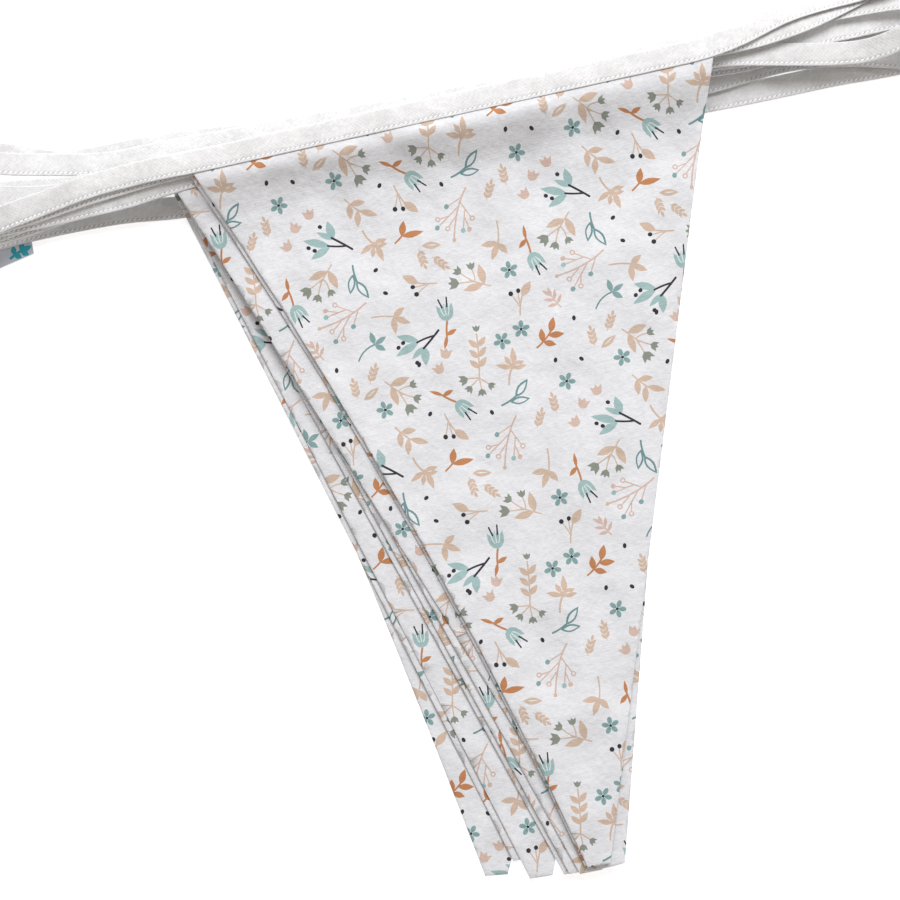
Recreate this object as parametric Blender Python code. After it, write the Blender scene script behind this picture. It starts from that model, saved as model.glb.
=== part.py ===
"""Fabric bunting folded flat: nine printed pennants on one bias tape, laid back and forth on a table.

The tape runs left and right through ten layers. Layer 1 is on top, and layer 10, the long tie, is at the
bottom. Each of layers 1 to 9 carries a pennant, whose top edge sits in the fold of the tape. Lengths are
in metres. X runs along the top layer's tape, Y from the pennants' tips to the tape, and Z is up.
"""

import math
from dataclasses import dataclass

import bmesh
import bpy
import numpy as np
from mathutils import Vector

MM = 0.001

# Pennants
PENNANT_WIDTH = 206 * MM
TIP_WIDTH = 9 * MM
SHEET_THICKNESS = 1.0 * MM
SEATED_THICKNESS = 0.4 * MM  # pressed between the tape's leaves
SEAT_DEPTH = 7.5 * MM  # how far a top edge reaches into the tape
SEAT_EASE = (0.5 * MM, 9 * MM)  # below the tape, where a sheet settles and fills out

# Tape
TAPE_WIDTH = 9 * MM
LEAF = 0.4 * MM
FOLD_WALL = 0.8 * MM
FULL_SLOT = 1.0 * MM  # between the leaves where they hold a sheet
EMPTY_SLOT = 0.3 * MM
SLOT_EASE = 12 * MM
FULL_PAST = 11 * MM  # how far past a pennant's corners the slot stays open
LOOP_STEPS = 6
FAN = (-92 * MM, 80 * MM)
STRAND_STEP = 9 * MM
FAN_STEP = 20 * MM
CURVE_STEP = 2 * MM
CURVE_EASE = 16 * MM

# Stacking: how much each sheet raises those above it, and how far its edge is felt
CLEARANCE = 0.3 * MM
FULL_ROOM = 0.5 * MM  # room between taped edges, and between bare strands as they cross
STRAND_ROOM = 0.7 * MM
SHEET_LIFT = SHEET_THICKNESS + CLEARANCE
FULL_LIFT = FULL_SLOT + 2 * LEAF + FULL_ROOM
STRAND_LIFT = EMPTY_SLOT + 2 * LEAF + STRAND_ROOM
LOOP_LIFT = 1.4 * MM  # extra room inside the end loops
LOOP_ZONE = (0.160, 0.185)
TAPE_MARGIN = 5 * MM
TAPE_EASE = 20 * MM
TAPE_OVER_SHEET = 18 * MM  # how far past a pennant's outline the tape above still rides over it
SHEET_OVER_SHEET = 200 * MM  # pennants stay flat across the whole fan
SHEET_EASE = 25 * MM

# The fan lies with the frame's origin under its middle
TOP_LINE_Y = 0.110

# Pennants from the top: left top corner, turn of the top edge, and middle of the tip, in mm and degrees
PENNANT_COLUMNS = ("corner_x", "corner_y", "turn", "tip_x", "tip_y")
PENNANTS = (
    (-103.0, 0.0, 0.0, -7.5, -297.0),
    (-104.5, -0.5, 0.3, -8.5, -296.5),
    (-111.2, -4.8, 2.3, -1.9, -299.0),
    (-104.6, 0.7, -0.9, -11.0, -299.6),
    (-106.1, 0.7, -1.2, -15.0, -299.0),
    (-109.1, 0.8, -1.0, -17.0, -299.0),
    (-113.4, 3.0, -2.0, -30.5, -298.0),
    (-116.8, 9.0, -2.1, -35.5, -290.0),
    (-108.0, 12.0, -6.5, -47.7, -294.0),
)

# The tape's centre line past the pennants on either side, outwards, in mm; layer 10 holds no pennant
LEFT_ROUTES = (
    ((-122, 5.2), (-140, 5.3), (-160, 2.9), (-181, -1.6), (-198, -6.0), (-214, -9.5)),
    ((-125, 3.6), (-145, 2.6), (-165, 0.5), (-183, -2.0)),
    ((-128, -2.2), (-142, -1.8), (-160, -2.0), (-174, -2.2), (-186, -2.4)),
    ((-125, 3.8), (-140, 2.0), (-160, 0.2), (-178, -2.6)),
    ((-125, 3.0), (-140, 0.6), (-160, -2.0), (-178, -4.0)),
    ((-128, 4.6), (-145, 4.2), (-162, 5.4), (-178, 8.0)),
    ((-130, 6.8), (-145, 6.4), (-160, 8.0), (-178, 11.4)),
    ((-138, 13.5), (-157, 18.0), (-170, 20.9), (-182, 23.4)),
    ((-128, 17.2), (-148, 17.2), (-160, 19.4), (-174, 26.4), (-184, 29.6)),
    ((-113, -9.2), (-134, -5.8), (-162, -4.9), (-178, -5.0), (-196, -6.6), (-206, -8.0)),
)
RIGHT_ROUTES = (
    ((117, 7.5), (134, 12.9), (152, 14.5), (172, 14.6), (184, 15.6)),
    ((122, 5.5), (139, 7.1), (152, 9.9), (166, 14.0), (182, 17.6)),
    ((120, 9.0), (138, 9.6), (156, 10.0), (176, 8.4), (190, 4.0)),
    ((114, 0.9), (126, -1.8), (140, -5.0), (158, -8.7), (174, -9.0), (190, -2.4)),
    ((118, 0.8), (138, 1.6), (156, 2.0), (176, 1.4)),
    ((118, 0.0), (138, -0.6), (156, -1.4), (176, -1.6)),
    ((108, -1.3), (122, -1.6), (142, 1.0), (160, 2.6), (178, 3.6)),
    ((106, 4.4), (124, 3.0), (142, 2.6), (160, 4.0), (178, 5.0)),
    ((112, -5.8), (126, -4.3), (142, -4.6), (160, -8.2), (176, -12.4)),
    ((97, -13.0), (118, -13.6), (134, -13.8), (152, -13.8), (174, -15.2)),
)
# Where a layer and the next one join in a loop, in mm, on the right for odd layers and the left for even
LOOPS = (
    (196, 16.4),
    (-198, -3.0),
    (206, 0.6),
    (-192, -4.4),
    (190, 0.4),
    (-191, 10.6),
    (193, 5.0),
    (-197, 29.0),
    (189, -15.0),
)
LOOP_RUN_IN = 8 * MM

# The label sits in the bottom layer's tape: corners anticlockwise from the left top one, in mm
LABEL_LAYER = 10
LABEL_OUTLINE = ((-196, -4.0), (-198, -19.0), (-173.0, -14.2), (-172.5, -2.4))
LABEL_SPAN = (-205, -165)
LABEL_EDGE = (-186, -10.2)  # a point on the tape's lower edge there
LABEL_TURN = 5.0

# The lines along X and Y on which all the pennants bend, and those of the label, in mm
PENNANT_LATTICE = (
    np.arange(-150, 151, 30) * MM,
    np.array((-305, -200, -120, -60, -32, -18, -8, 0, 8, 16, 24)) * MM,
)
LABEL_LATTICE = (np.arange(-204, -167, 6) * MM, np.arange(-20, 1, 4) * MM)


def smoothstep(low, high, value):
    """Ease from 0 at low to 1 at high."""
    share = np.clip((value - low) / (high - low), 0.0, 1.0)
    return share * share * (3.0 - 2.0 * share)


def turned(vector, degrees):
    """Turn a flat vector anticlockwise."""
    angle = math.radians(degrees)
    x, y = vector
    return np.array((x * math.cos(angle) - y * math.sin(angle), x * math.sin(angle) + y * math.cos(angle)))


def eased(points):
    """A smooth flat curve along a rough line of points, with a point every CURVE_STEP."""
    points = np.asarray(points, float)
    lengths = np.concatenate(((0.0,), np.cumsum(np.linalg.norm(np.diff(points, axis=0), axis=1))))
    count = round(lengths[-1] / CURVE_STEP)
    places = np.linspace(0, lengths[-1], count + 1)
    line = np.stack([np.interp(places, lengths, column) for column in points.T], axis=1)
    reach = round(CURVE_EASE / CURVE_STEP)
    weights = np.hanning(2 * reach + 3)[1:-1]
    weights /= weights.sum()
    before = 2 * line[0] - line[reach:0:-1]
    after = 2 * line[-1] - line[-2 : -reach - 2 : -1]
    padded = np.vstack((before, line, after))
    return np.stack([np.convolve(column, weights, "valid") for column in padded.T], axis=1)


class Pennant:
    """The outline of one pennant, from its table row."""

    def __init__(self, row):
        values = dict(zip(PENNANT_COLUMNS, row))
        self.left = np.array((values["corner_x"], values["corner_y"])) * MM
        self.turn = values["turn"]
        self.along = turned((1.0, 0.0), self.turn)
        self.up = turned((0.0, 1.0), self.turn)
        self.right = self.left + self.along * PENNANT_WIDTH
        self.tip = np.array((values["tip_x"], values["tip_y"])) * MM

    def outline(self):
        """Corners anticlockwise from the left top one, seated in the tape."""
        axis = self.tip - (self.left + self.right) / 2
        across = np.array((-axis[1], axis[0])) / np.linalg.norm(axis) * TIP_WIDTH / 2
        seat = self.up * SEAT_DEPTH
        return [self.left + seat, self.left, self.tip - across, self.tip + across, self.right, self.right + seat]


class Layer:
    """One run of the tape, with the pennant that it carries."""

    def __init__(self, number):
        self.number = number
        self.pennant = Pennant(PENNANTS[number - 1]) if number <= len(PENNANTS) else None
        left = [np.array(point) * MM for point in LEFT_ROUTES[number - 1]]
        right = [np.array(point) * MM for point in RIGHT_ROUTES[number - 1]]
        joins = LOOPS[max(0, number - 2) : number]
        for x, y in joins:
            side = left if x < 0 else right
            run_in = -math.copysign(LOOP_RUN_IN, x)
            side.append(np.array((x * MM + run_in, y * MM)))
            side.append(np.array((x * MM, y * MM)))
        if self.pennant:
            lift = self.pennant.up * TAPE_WIDTH / 2
            start = self.pennant.left + lift
            end = self.pennant.right + lift
            middle = [start, end]
            self.full = (self.pennant.left[0] - FULL_PAST, self.pennant.right[0] + FULL_PAST)
        else:
            middle = []
            self.full = (LABEL_SPAN[0] * MM, LABEL_SPAN[1] * MM)
        self.curve = eased(left[::-1] + middle + right)

    def fullness(self, x):
        """1 where the tape holds a sheet, and 0 where it is folded flat."""
        return smoothstep(self.full[0] - SLOT_EASE, self.full[0], x) - smoothstep(
            self.full[1], self.full[1] + SLOT_EASE, x
        )

    def slot(self, x):
        """The height of the space between the leaves."""
        return EMPTY_SLOT + (FULL_SLOT - EMPTY_SLOT) * self.fullness(x)

    def thickness(self, x):
        """The tape's own height."""
        return self.slot(x) + 2 * LEAF

    def lift(self, x, y, sheet_reach):
        """How much this layer raises what lies on it; its pennant is felt up to sheet_reach past its outline."""
        spot = np.stack((x, y), axis=-1)
        gaps = np.linalg.norm(spot[..., None, :] - self.curve, axis=-1).min(axis=-1)
        felt = 1 - smoothstep(TAPE_WIDTH / 2 + TAPE_MARGIN, TAPE_WIDTH / 2 + TAPE_MARGIN + TAPE_EASE, gaps)
        tape = STRAND_LIFT + (FULL_LIFT - STRAND_LIFT) * self.fullness(x)
        tape = tape + LOOP_LIFT * smoothstep(*LOOP_ZONE, np.abs(x))
        sheet = np.zeros_like(x)
        if self.pennant:
            outside = np.full_like(x, -1.0)
            corners = self.pennant.outline()
            for start, end in zip(corners, corners[1:] + corners[:1]):
                normal = np.array((end[1] - start[1], start[0] - end[0])) / np.linalg.norm(end - start)
                outside = np.maximum(outside, (spot - start) @ normal)
            sheet = SHEET_LIFT * (1 - smoothstep(sheet_reach, sheet_reach + SHEET_EASE, outside))
        return sheet + (tape - sheet) * felt


LAYERS = [Layer(number) for number in range(1, len(PENNANTS) + 2)]


def floor_under(number, x, y, sheet_reach=TAPE_OVER_SHEET):
    """The height on which a layer lies: the sum of what the layers under it add."""
    height = np.zeros(np.shape(x))
    for layer in LAYERS[number:]:
        height = height + layer.lift(np.asarray(x, float), np.asarray(y, float), sheet_reach)
    return height


def new_object(name, bm, collection, material):
    """Put a finished mesh into the scene with its material."""
    mesh = bpy.data.meshes.new(name)
    bm.to_mesh(mesh)
    bm.free()
    mesh.materials.append(material)
    item = bpy.data.objects.new(name, mesh)
    item.location = (0, TOP_LINE_Y, 0)
    collection.objects.link(item)
    return item


def cotton(name, colour, roughness):
    """A matt cloth material."""
    material = bpy.data.materials.new(name)
    material.use_nodes = True
    shader = material.node_tree.nodes["Principled BSDF"]
    shader.inputs["Base Color"].default_value = (*colour, 1.0)
    shader.inputs["Roughness"].default_value = roughness
    shader.inputs["Metallic"].default_value = 0.0
    return material


def cut(bm, point, normal, clear):
    """Cut a sheet along an upright plane, and clear what lies past it if asked."""
    bmesh.ops.bisect_plane(
        bm,
        geom=bm.verts[:] + bm.edges[:] + bm.faces[:],
        dist=1e-7,
        plane_co=(point[0], point[1], 0),
        plane_no=(normal[0], normal[1], 0),
        clear_outer=clear,
    )


def lattice(number, lines_x, lines_y):
    """A flat triangulated lattice, raised to the height on which its layer lies."""
    bm = bmesh.new()
    columns = len(lines_x) - 1
    rows = len(lines_y) - 1
    bmesh.ops.create_grid(bm, x_segments=columns, y_segments=rows, size=1)
    for v in bm.verts:
        v.co.x = lines_x[round((v.co.x + 1) / 2 * columns)]
        v.co.y = lines_y[round((v.co.y + 1) / 2 * rows)]
    bmesh.ops.triangulate(bm, faces=bm.faces[:])
    places = np.array([v.co[:2] for v in bm.verts])
    heights = floor_under(number, places[:, 0], places[:, 1], SHEET_OVER_SHEET)
    for v, height in zip(bm.verts, heights):
        v.co.z = height
    return bm


def seat_heights(number, places, edge_point, edge_up):
    """The height of each place on the straight line across the tape that holds it."""
    edge_along = np.array((edge_up[1], -edge_up[0]))
    low = edge_point + np.outer((places - edge_point) @ edge_along, edge_along)
    high = low + edge_up * TAPE_WIDTH
    low_floor = floor_under(number, low[:, 0], low[:, 1])
    high_floor = floor_under(number, high[:, 0], high[:, 1])
    share = np.clip((places - edge_point) @ edge_up / TAPE_WIDTH, 0, 1)
    return low_floor + (high_floor - low_floor) * share


def sheet(number, corners, edge_point, edge_up, lines):
    """A cloth sheet cut from the lattice, seated in its layer's tape and lying on the layers under it.

    corners is the convex outline anticlockwise; edge_point and edge_up give the tape's lower edge.
    """
    bm = lattice(number, *lines)
    for start, end in zip(corners, corners[1:] + corners[:1]):
        cut(bm, start, (end[1] - start[1], start[0] - end[0]), True)
    for drop in SEAT_EASE:
        cut(bm, edge_point - edge_up * drop, edge_up, False)
    places = np.array([v.co[:2] for v in bm.verts])
    loose = smoothstep(*SEAT_EASE, (edge_point - places) @ edge_up)
    middle = LAYERS[number - 1].thickness(edge_point[0]) / 2
    seats = seat_heights(number, places, edge_point, edge_up) + middle - SEATED_THICKNESS / 2
    thickness = {}
    for v, share, seat in zip(bm.verts, loose, seats):
        v.co.z += (seat - v.co.z) * (1 - share)
        thickness[v.co.to_tuple(7)] = SEATED_THICKNESS + (SHEET_THICKNESS - SEATED_THICKNESS) * share
    raised = bmesh.ops.extrude_face_region(bm, geom=bm.faces[:])["geom"]
    for v in raised:
        if isinstance(v, bmesh.types.BMVert):
            v.co.z += thickness[v.co.to_tuple(7)]
    bmesh.ops.recalc_face_normals(bm, faces=bm.faces[:])
    return bm


@dataclass
class Station:
    """One cross section of the tape: its centre, its directions across and up, and half its slot."""

    centre: Vector
    across: Vector
    up: Vector
    half_slot: float


def kept_places(curve):
    """Which points of a run's curve get a cross section: fewer along the straight fan."""
    kept = [0]
    for index, point in enumerate(curve):
        step = FAN_STEP if FAN[0] < point[0] < FAN[1] else STRAND_STEP
        if (index - kept[-1]) * CURVE_STEP >= step - CURVE_STEP / 2:
            kept.append(index)
    if (len(curve) - 1 - kept[-1]) * CURVE_STEP < STRAND_STEP / 2:
        kept.pop()
    kept.append(len(curve) - 1)
    return kept


def run_stations(layer):
    """The cross sections along one run, from left to right."""
    kept = kept_places(layer.curve)
    along = np.gradient(layer.curve, axis=0)[kept]
    along /= np.linalg.norm(along, axis=1)[:, None]
    across = np.stack((-along[:, 1], along[:, 0]), axis=1)
    middle = layer.curve[kept]
    open_edge = middle - across * TAPE_WIDTH / 2
    fold_edge = middle + across * TAPE_WIDTH / 2
    open_floor = floor_under(layer.number, open_edge[:, 0], open_edge[:, 1])
    fold_floor = floor_under(layer.number, fold_edge[:, 0], fold_edge[:, 1])
    half_slots = layer.slot(middle[:, 0]) / 2
    up = Vector((0, 0, 1 if layer.number % 2 else -1))
    stations = []
    for index, half_slot in enumerate(half_slots):
        low = Vector((*open_edge[index], open_floor[index] + half_slot + LEAF))
        high = Vector((*fold_edge[index], fold_floor[index] + half_slot + LEAF))
        stations.append(Station((low + high) / 2, (high - low) / TAPE_WIDTH, up, float(half_slot)))
    return stations


def loop_stations(upper, lower):
    """The cross sections round a loop, from the end of the upper run to the end of the lower one."""
    centre = (upper.centre + lower.centre) / 2
    radius = (upper.centre.z - lower.centre.z) / 2
    outward = Vector((math.copysign(1, centre.x), 0, 0))
    stations = []
    for step in range(1, LOOP_STEPS):
        angle = math.pi * step / LOOP_STEPS
        away = Vector((0, 0, math.cos(angle))) + outward * math.sin(angle)
        across = upper.across.lerp(lower.across, step / LOOP_STEPS)
        stations.append(Station(centre + away * radius, across, away * upper.up.z, upper.half_slot))
    return stations


def tape_section(half_slot):
    """The folded section, open at the lower edge: pairs of place across and place up."""
    half = TAPE_WIDTH / 2
    inner = half - FOLD_WALL
    outer = half_slot + LEAF
    return (
        (-half, -outer),
        (-half, -half_slot),
        (inner, -half_slot),
        (inner, half_slot),
        (-half, half_slot),
        (-half, outer),
        (half, outer),
        (half, -outer),
    )


def tape():
    """The whole tape, lofted along its back-and-forth path."""
    path = []
    for layer in LAYERS:
        run = run_stations(layer)
        if layer.number % 2 == 0:
            run.reverse()
        if path:
            path.extend(loop_stations(path[-1], run[0]))
        path.extend(run)
    bm = bmesh.new()
    rings = []
    for at in path:
        points = tape_section(at.half_slot)
        rings.append([bm.verts.new(at.centre + at.across * side + at.up * high) for side, high in points])
    for ring, following in zip(rings, rings[1:]):
        for side in range(len(ring)):
            after = (side + 1) % len(ring)
            bm.faces.new((ring[side], ring[after], following[after], following[side]))
    bm.faces.new(rings[0])
    bm.faces.new(rings[-1][::-1])
    bmesh.ops.recalc_face_normals(bm, faces=bm.faces[:])
    return bm


def main():
    """Build every piece."""
    for item in list(bpy.data.objects):
        bpy.data.objects.remove(item)
    collection = bpy.data.collections.new("fabric_bunting")
    bpy.context.scene.collection.children.link(collection)
    print_cotton = cotton("printed cotton", (0.86, 0.83, 0.82), 0.85)
    tape_cotton = cotton("bias tape cotton", (0.88, 0.88, 0.89), 0.8)
    label_satin = cotton("label satin", (0.72, 0.75, 0.79), 0.55)
    for layer in LAYERS:
        if layer.pennant:
            shape = layer.pennant
            bm = sheet(layer.number, shape.outline(), shape.left, shape.up, PENNANT_LATTICE)
            new_object(f"pennant_{layer.number}", bm, collection, print_cotton)
    new_object("bias_tape", tape(), collection, tape_cotton)
    corners = [np.array(corner) * MM for corner in LABEL_OUTLINE]
    edge_point = np.array(LABEL_EDGE) * MM
    edge_up = turned((0.0, 1.0), LABEL_TURN)
    bm = sheet(LABEL_LAYER, corners, edge_point, edge_up, LABEL_LATTICE)
    new_object("label", bm, collection, label_satin)


main()
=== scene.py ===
"""Looks for a folded length of fabric bunting.

Nine printed cotton pennants hang from one white bias tape, which is laid back and forth on a table. The
pennants are fine sheets with the sprig print inlaid in them, the tape is lofted along its whole path,
and its stitches are placed by Geometry Nodes. Lengths are in metres, and the print is drawn in mm.
"""

import logging
import math
from dataclasses import dataclass, field
from enum import Enum

import bpy
import numpy as np
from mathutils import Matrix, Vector
from mathutils.geometry import delaunay_2d_cdt


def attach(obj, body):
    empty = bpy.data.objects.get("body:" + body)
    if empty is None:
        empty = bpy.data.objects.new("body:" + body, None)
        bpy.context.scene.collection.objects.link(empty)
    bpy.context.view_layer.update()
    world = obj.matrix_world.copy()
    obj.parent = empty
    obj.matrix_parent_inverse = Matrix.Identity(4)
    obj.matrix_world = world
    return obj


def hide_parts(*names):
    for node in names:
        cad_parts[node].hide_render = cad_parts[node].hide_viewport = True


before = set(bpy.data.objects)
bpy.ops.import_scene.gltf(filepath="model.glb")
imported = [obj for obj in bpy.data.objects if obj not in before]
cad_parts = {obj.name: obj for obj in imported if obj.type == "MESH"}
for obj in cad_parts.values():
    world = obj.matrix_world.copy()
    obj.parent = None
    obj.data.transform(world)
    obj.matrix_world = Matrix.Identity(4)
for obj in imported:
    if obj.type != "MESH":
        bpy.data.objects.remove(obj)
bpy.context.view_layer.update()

log = logging.getLogger("fabric_bunting")
MM = 0.001

# The pennants and the tape, as they are cut and folded
PENNANT_WIDTH = 206 * MM
PENNANT_LENGTH = 304.5 * MM
TIP_WIDTH = 9 * MM
SHEET_THICKNESS = 1.0 * MM
SEATED_THICKNESS = 0.4 * MM
SEAT_DEPTH = 7.5 * MM
SEAT_EASE = (0.5 * MM, 9 * MM)
TAPE_WIDTH = 9 * MM
LEAF = 0.4 * MM
FULL_SLOT = 1.0 * MM
EMPTY_SLOT = 0.3 * MM
SLOT_EASE = 12 * MM
FULL_PAST = 11 * MM
CURVE_STEP = 2 * MM
CURVE_EASE = 16 * MM

# How much each layer raises those above it, and how far its edge is felt
CLEARANCE = 0.3 * MM
SHEET_LIFT = SHEET_THICKNESS + CLEARANCE
FULL_LIFT = FULL_SLOT + 2 * LEAF + 0.5 * MM
STRAND_LIFT = EMPTY_SLOT + 2 * LEAF + 0.7 * MM
LOOP_LIFT = 1.4 * MM
LOOP_ZONE = (0.160, 0.185)
TAPE_MARGIN = 5 * MM
TAPE_EASE = 20 * MM
TAPE_OVER_SHEET = 18 * MM
SHEET_OVER_SHEET = 200 * MM
SHEET_EASE = 25 * MM
DRAPE_MARGIN = 1.5 * MM  # a pennant starts to fall this far below a tape, and lies flat after the ease
DRAPE_EASE = 19 * MM
TOP_LINE_Y = 0.110
HEIGHT_STEP = 2 * MM  # spacing of the grid on which the layers' heights are worked out
HEIGHT_X = (-0.240, 0.240)
HEIGHT_Y = (-0.330, 0.070)

# Pennants from the top: left top corner, turn of the top edge, and middle of the tip, in mm and degrees
PENNANT_COLUMNS = ("corner_x", "corner_y", "turn", "tip_x", "tip_y")
PENNANTS = (
    (-103.0, 0.0, 0.0, -7.5, -297.0),
    (-104.5, -0.5, 0.3, -8.5, -296.5),
    (-111.2, -4.8, 2.3, -1.9, -299.0),
    (-104.6, 0.7, -0.9, -11.0, -299.6),
    (-106.1, 0.7, -1.2, -15.0, -299.0),
    (-109.1, 0.8, -1.0, -17.0, -299.0),
    (-113.4, 3.0, -2.0, -30.5, -298.0),
    (-116.8, 9.0, -2.1, -35.5, -290.0),
    (-108.0, 12.0, -6.5, -47.7, -294.0),
)
# How far each pennant's left side is drawn in at its middle, in mm, and the straight steps that follow it
PENNANT_BOWS = (6.4, 6.2, 0.0, 0.0, 0.0, 0.0, 0.0, 0.0, 3.0)
BOW_STEPS = 10
# Soft folds of the top pennant: place, half width and half length in mm, turn in degrees, and height in mm
FOLDS = (
    (6.0, -4.0, 54.0, 13.0, 0.0, 2.0),
    (-82.0, -66.0, 12.0, 50.0, 18.0, 0.4),
    (-49.0, -166.0, 11.0, 100.0, 18.0, 1.1),
    (20.0, -66.0, 34.0, 10.0, 6.0, 0.7),
    (-20.0, -92.0, 40.0, 9.0, -4.0, 0.6),
    (34.0, -128.0, 14.0, 34.0, -30.0, 0.8),
    (0.0, -190.0, 30.0, 9.0, 10.0, 0.6),
    (-4.0, -238.0, 22.0, 8.0, -6.0, 0.8),
)
# Where each pennant was cut from the printed cloth, and the place there of a cut with no shift, in mm
PRINT_HOME = (-103.0, 0.0)
PRINT_MARGIN = 12.0
PRINT_SHIFTS = (
    (0.0, 0.0),
    (31.0, 17.0),
    (-22.0, 40.0),
    (12.0, -31.0),
    (44.0, 8.0),
    (-37.0, -20.0),
    (20.0, 33.0),
    (-8.0, -44.0),
    (38.0, -12.0),
)

# The tape's centre line past the pennants on either side, outwards, in mm; layer 10 holds no pennant
LEFT_ROUTES = (
    ((-122, 5.2), (-140, 5.3), (-160, 2.9), (-181, -1.6), (-198, -6.0), (-214, -9.5)),
    ((-125, 3.6), (-145, 2.6), (-165, 0.5), (-183, -2.0)),
    ((-128, -2.2), (-142, -1.8), (-160, -2.0), (-174, -2.2), (-186, -2.4)),
    ((-125, 3.8), (-140, 2.0), (-160, 0.2), (-178, -2.6)),
    ((-125, 3.0), (-140, 0.6), (-160, -2.0), (-178, -4.0)),
    ((-128, 4.6), (-145, 4.2), (-162, 5.4), (-178, 8.0)),
    ((-130, 6.8), (-145, 6.4), (-160, 8.0), (-178, 11.4)),
    ((-138, 13.5), (-157, 18.0), (-170, 20.9), (-182, 23.4)),
    ((-128, 17.2), (-148, 17.2), (-160, 19.4), (-174, 26.4), (-184, 29.6)),
    ((-113, -9.2), (-134, -5.8), (-162, -4.9), (-178, -5.0), (-196, -6.6), (-206, -8.0)),
)
RIGHT_ROUTES = (
    ((117, 7.5), (134, 12.9), (152, 14.5), (172, 14.6), (184, 15.6)),
    ((122, 5.5), (139, 7.1), (152, 9.9), (166, 14.0), (182, 17.6)),
    ((120, 9.0), (138, 9.6), (156, 10.0), (176, 8.4), (190, 4.0)),
    ((114, 0.9), (126, -1.8), (140, -5.0), (158, -8.7), (174, -9.0), (190, -2.4)),
    ((118, 0.8), (138, 1.6), (156, 2.0), (176, 1.4)),
    ((118, 0.0), (138, -0.6), (156, -1.4), (176, -1.6)),
    ((108, -1.3), (122, -1.6), (142, 1.0), (160, 2.6), (178, 3.6)),
    ((106, 4.4), (124, 3.0), (142, 2.6), (160, 4.0), (178, 5.0)),
    ((112, -5.8), (126, -4.3), (142, -4.6), (160, -8.2), (176, -12.4)),
    ((97, -13.0), (118, -13.6), (134, -13.8), (152, -13.8), (174, -15.2)),
)
LOOPS = (
    (196, 16.4),
    (-198, -3.0),
    (206, 0.6),
    (-192, -4.4),
    (190, 0.4),
    (-191, 10.6),
    (193, 5.0),
    (-197, 29.0),
    (189, -15.0),
)
LOOP_RUN_IN = 8 * MM

# The label in the bottom layer's tape, in mm
LABEL_LAYER = 10
LABEL_OUTLINE = ((-196, -4.0), (-198, -19.0), (-173.0, -14.2), (-172.5, -2.4))
LABEL_SPAN = (-205, -165)
LABEL_EDGE = (-186, -10.2)
LABEL_TURN = 5.0
LABEL_MARKS = ((-192.0, -16.0), (-178.5, -12.6))
MARK_TURN = 14.0


def smoothstep(low: float, high: float, value: np.ndarray) -> np.ndarray:
    """Ease from 0 at low to 1 at high."""
    share = np.clip((value - low) / (high - low), 0.0, 1.0)
    return share * share * (3.0 - 2.0 * share)


def turned(vector: tuple[float, float], degrees: float) -> np.ndarray:
    """Turn a flat vector anticlockwise."""
    cosine, sine = math.cos(math.radians(degrees)), math.sin(math.radians(degrees))
    x, y = vector
    return np.array((x * cosine - y * sine, x * sine + y * cosine))


def eased(points: list[np.ndarray]) -> np.ndarray:
    """Draw a smooth flat curve along a rough line of points.

    Args:
        points: the rough line, in metres.

    Returns:
        The curve, with a point every CURVE_STEP.
    """
    rough = np.asarray(points, float)
    lengths = np.concatenate(((0.0,), np.cumsum(np.linalg.norm(np.diff(rough, axis=0), axis=1))))
    count = round(lengths[-1] / CURVE_STEP)
    places = np.linspace(0, lengths[-1], count + 1)
    line = np.stack([np.interp(places, lengths, column) for column in rough.T], axis=1)
    reach = round(CURVE_EASE / CURVE_STEP)
    weights = np.hanning(2 * reach + 3)[1:-1]
    weights /= weights.sum()
    before = 2 * line[0] - line[reach:0:-1]
    after = 2 * line[-1] - line[-2 : -reach - 2 : -1]
    padded = np.vstack((before, line, after))
    return np.stack([np.convolve(column, weights, "valid") for column in padded.T], axis=1)


def linear(code: str) -> tuple[float, float, float]:
    """Turn an sRGB hex colour into linear light.

    Args:
        code: the colour, such as "#F6F4F5".

    Returns:
        Its red, green and blue in linear light.
    """
    shares = [int(code[at : at + 2], 16) / 255 for at in (1, 3, 5)]
    return tuple(s / 12.92 if s <= 0.04045 else ((s + 0.055) / 1.055) ** 2.4 for s in shares)


def add_node(
    tree: bpy.types.NodeTree, kind: str, settings: dict | None = None, links: dict | None = None
) -> bpy.types.Node:
    """Add one node to a tree, with its settings and its links.

    Args:
        tree: the tree to add to.
        kind: the node's type.
        settings: values by the node's attribute, or by its input's name or number.
        links: the sockets to link from, by the input's name or number.

    Returns:
        The new node.
    """
    node = tree.nodes.new(kind)
    for name, value in (settings or {}).items():
        if isinstance(name, str) and hasattr(node, name):
            setattr(node, name, value)
        else:
            node.inputs[name].default_value = value
    for name, source in (links or {}).items():
        tree.links.new(source, node.inputs[name])
    return node


def new_finish(name: str, settings: dict) -> tuple[bpy.types.Material, bpy.types.Node]:
    """Start a material.

    Args:
        name: the material's name.
        settings: values by the name of the shader's socket.

    Returns:
        The material and its shader.
    """
    material = bpy.data.materials.new(name)
    material.use_nodes = True
    shader = material.node_tree.nodes["Principled BSDF"]
    for socket, value in settings.items():
        shader.inputs[socket].default_value = value
    return material, shader


# ---------------------------------------------------------------- the stack of layers


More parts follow.
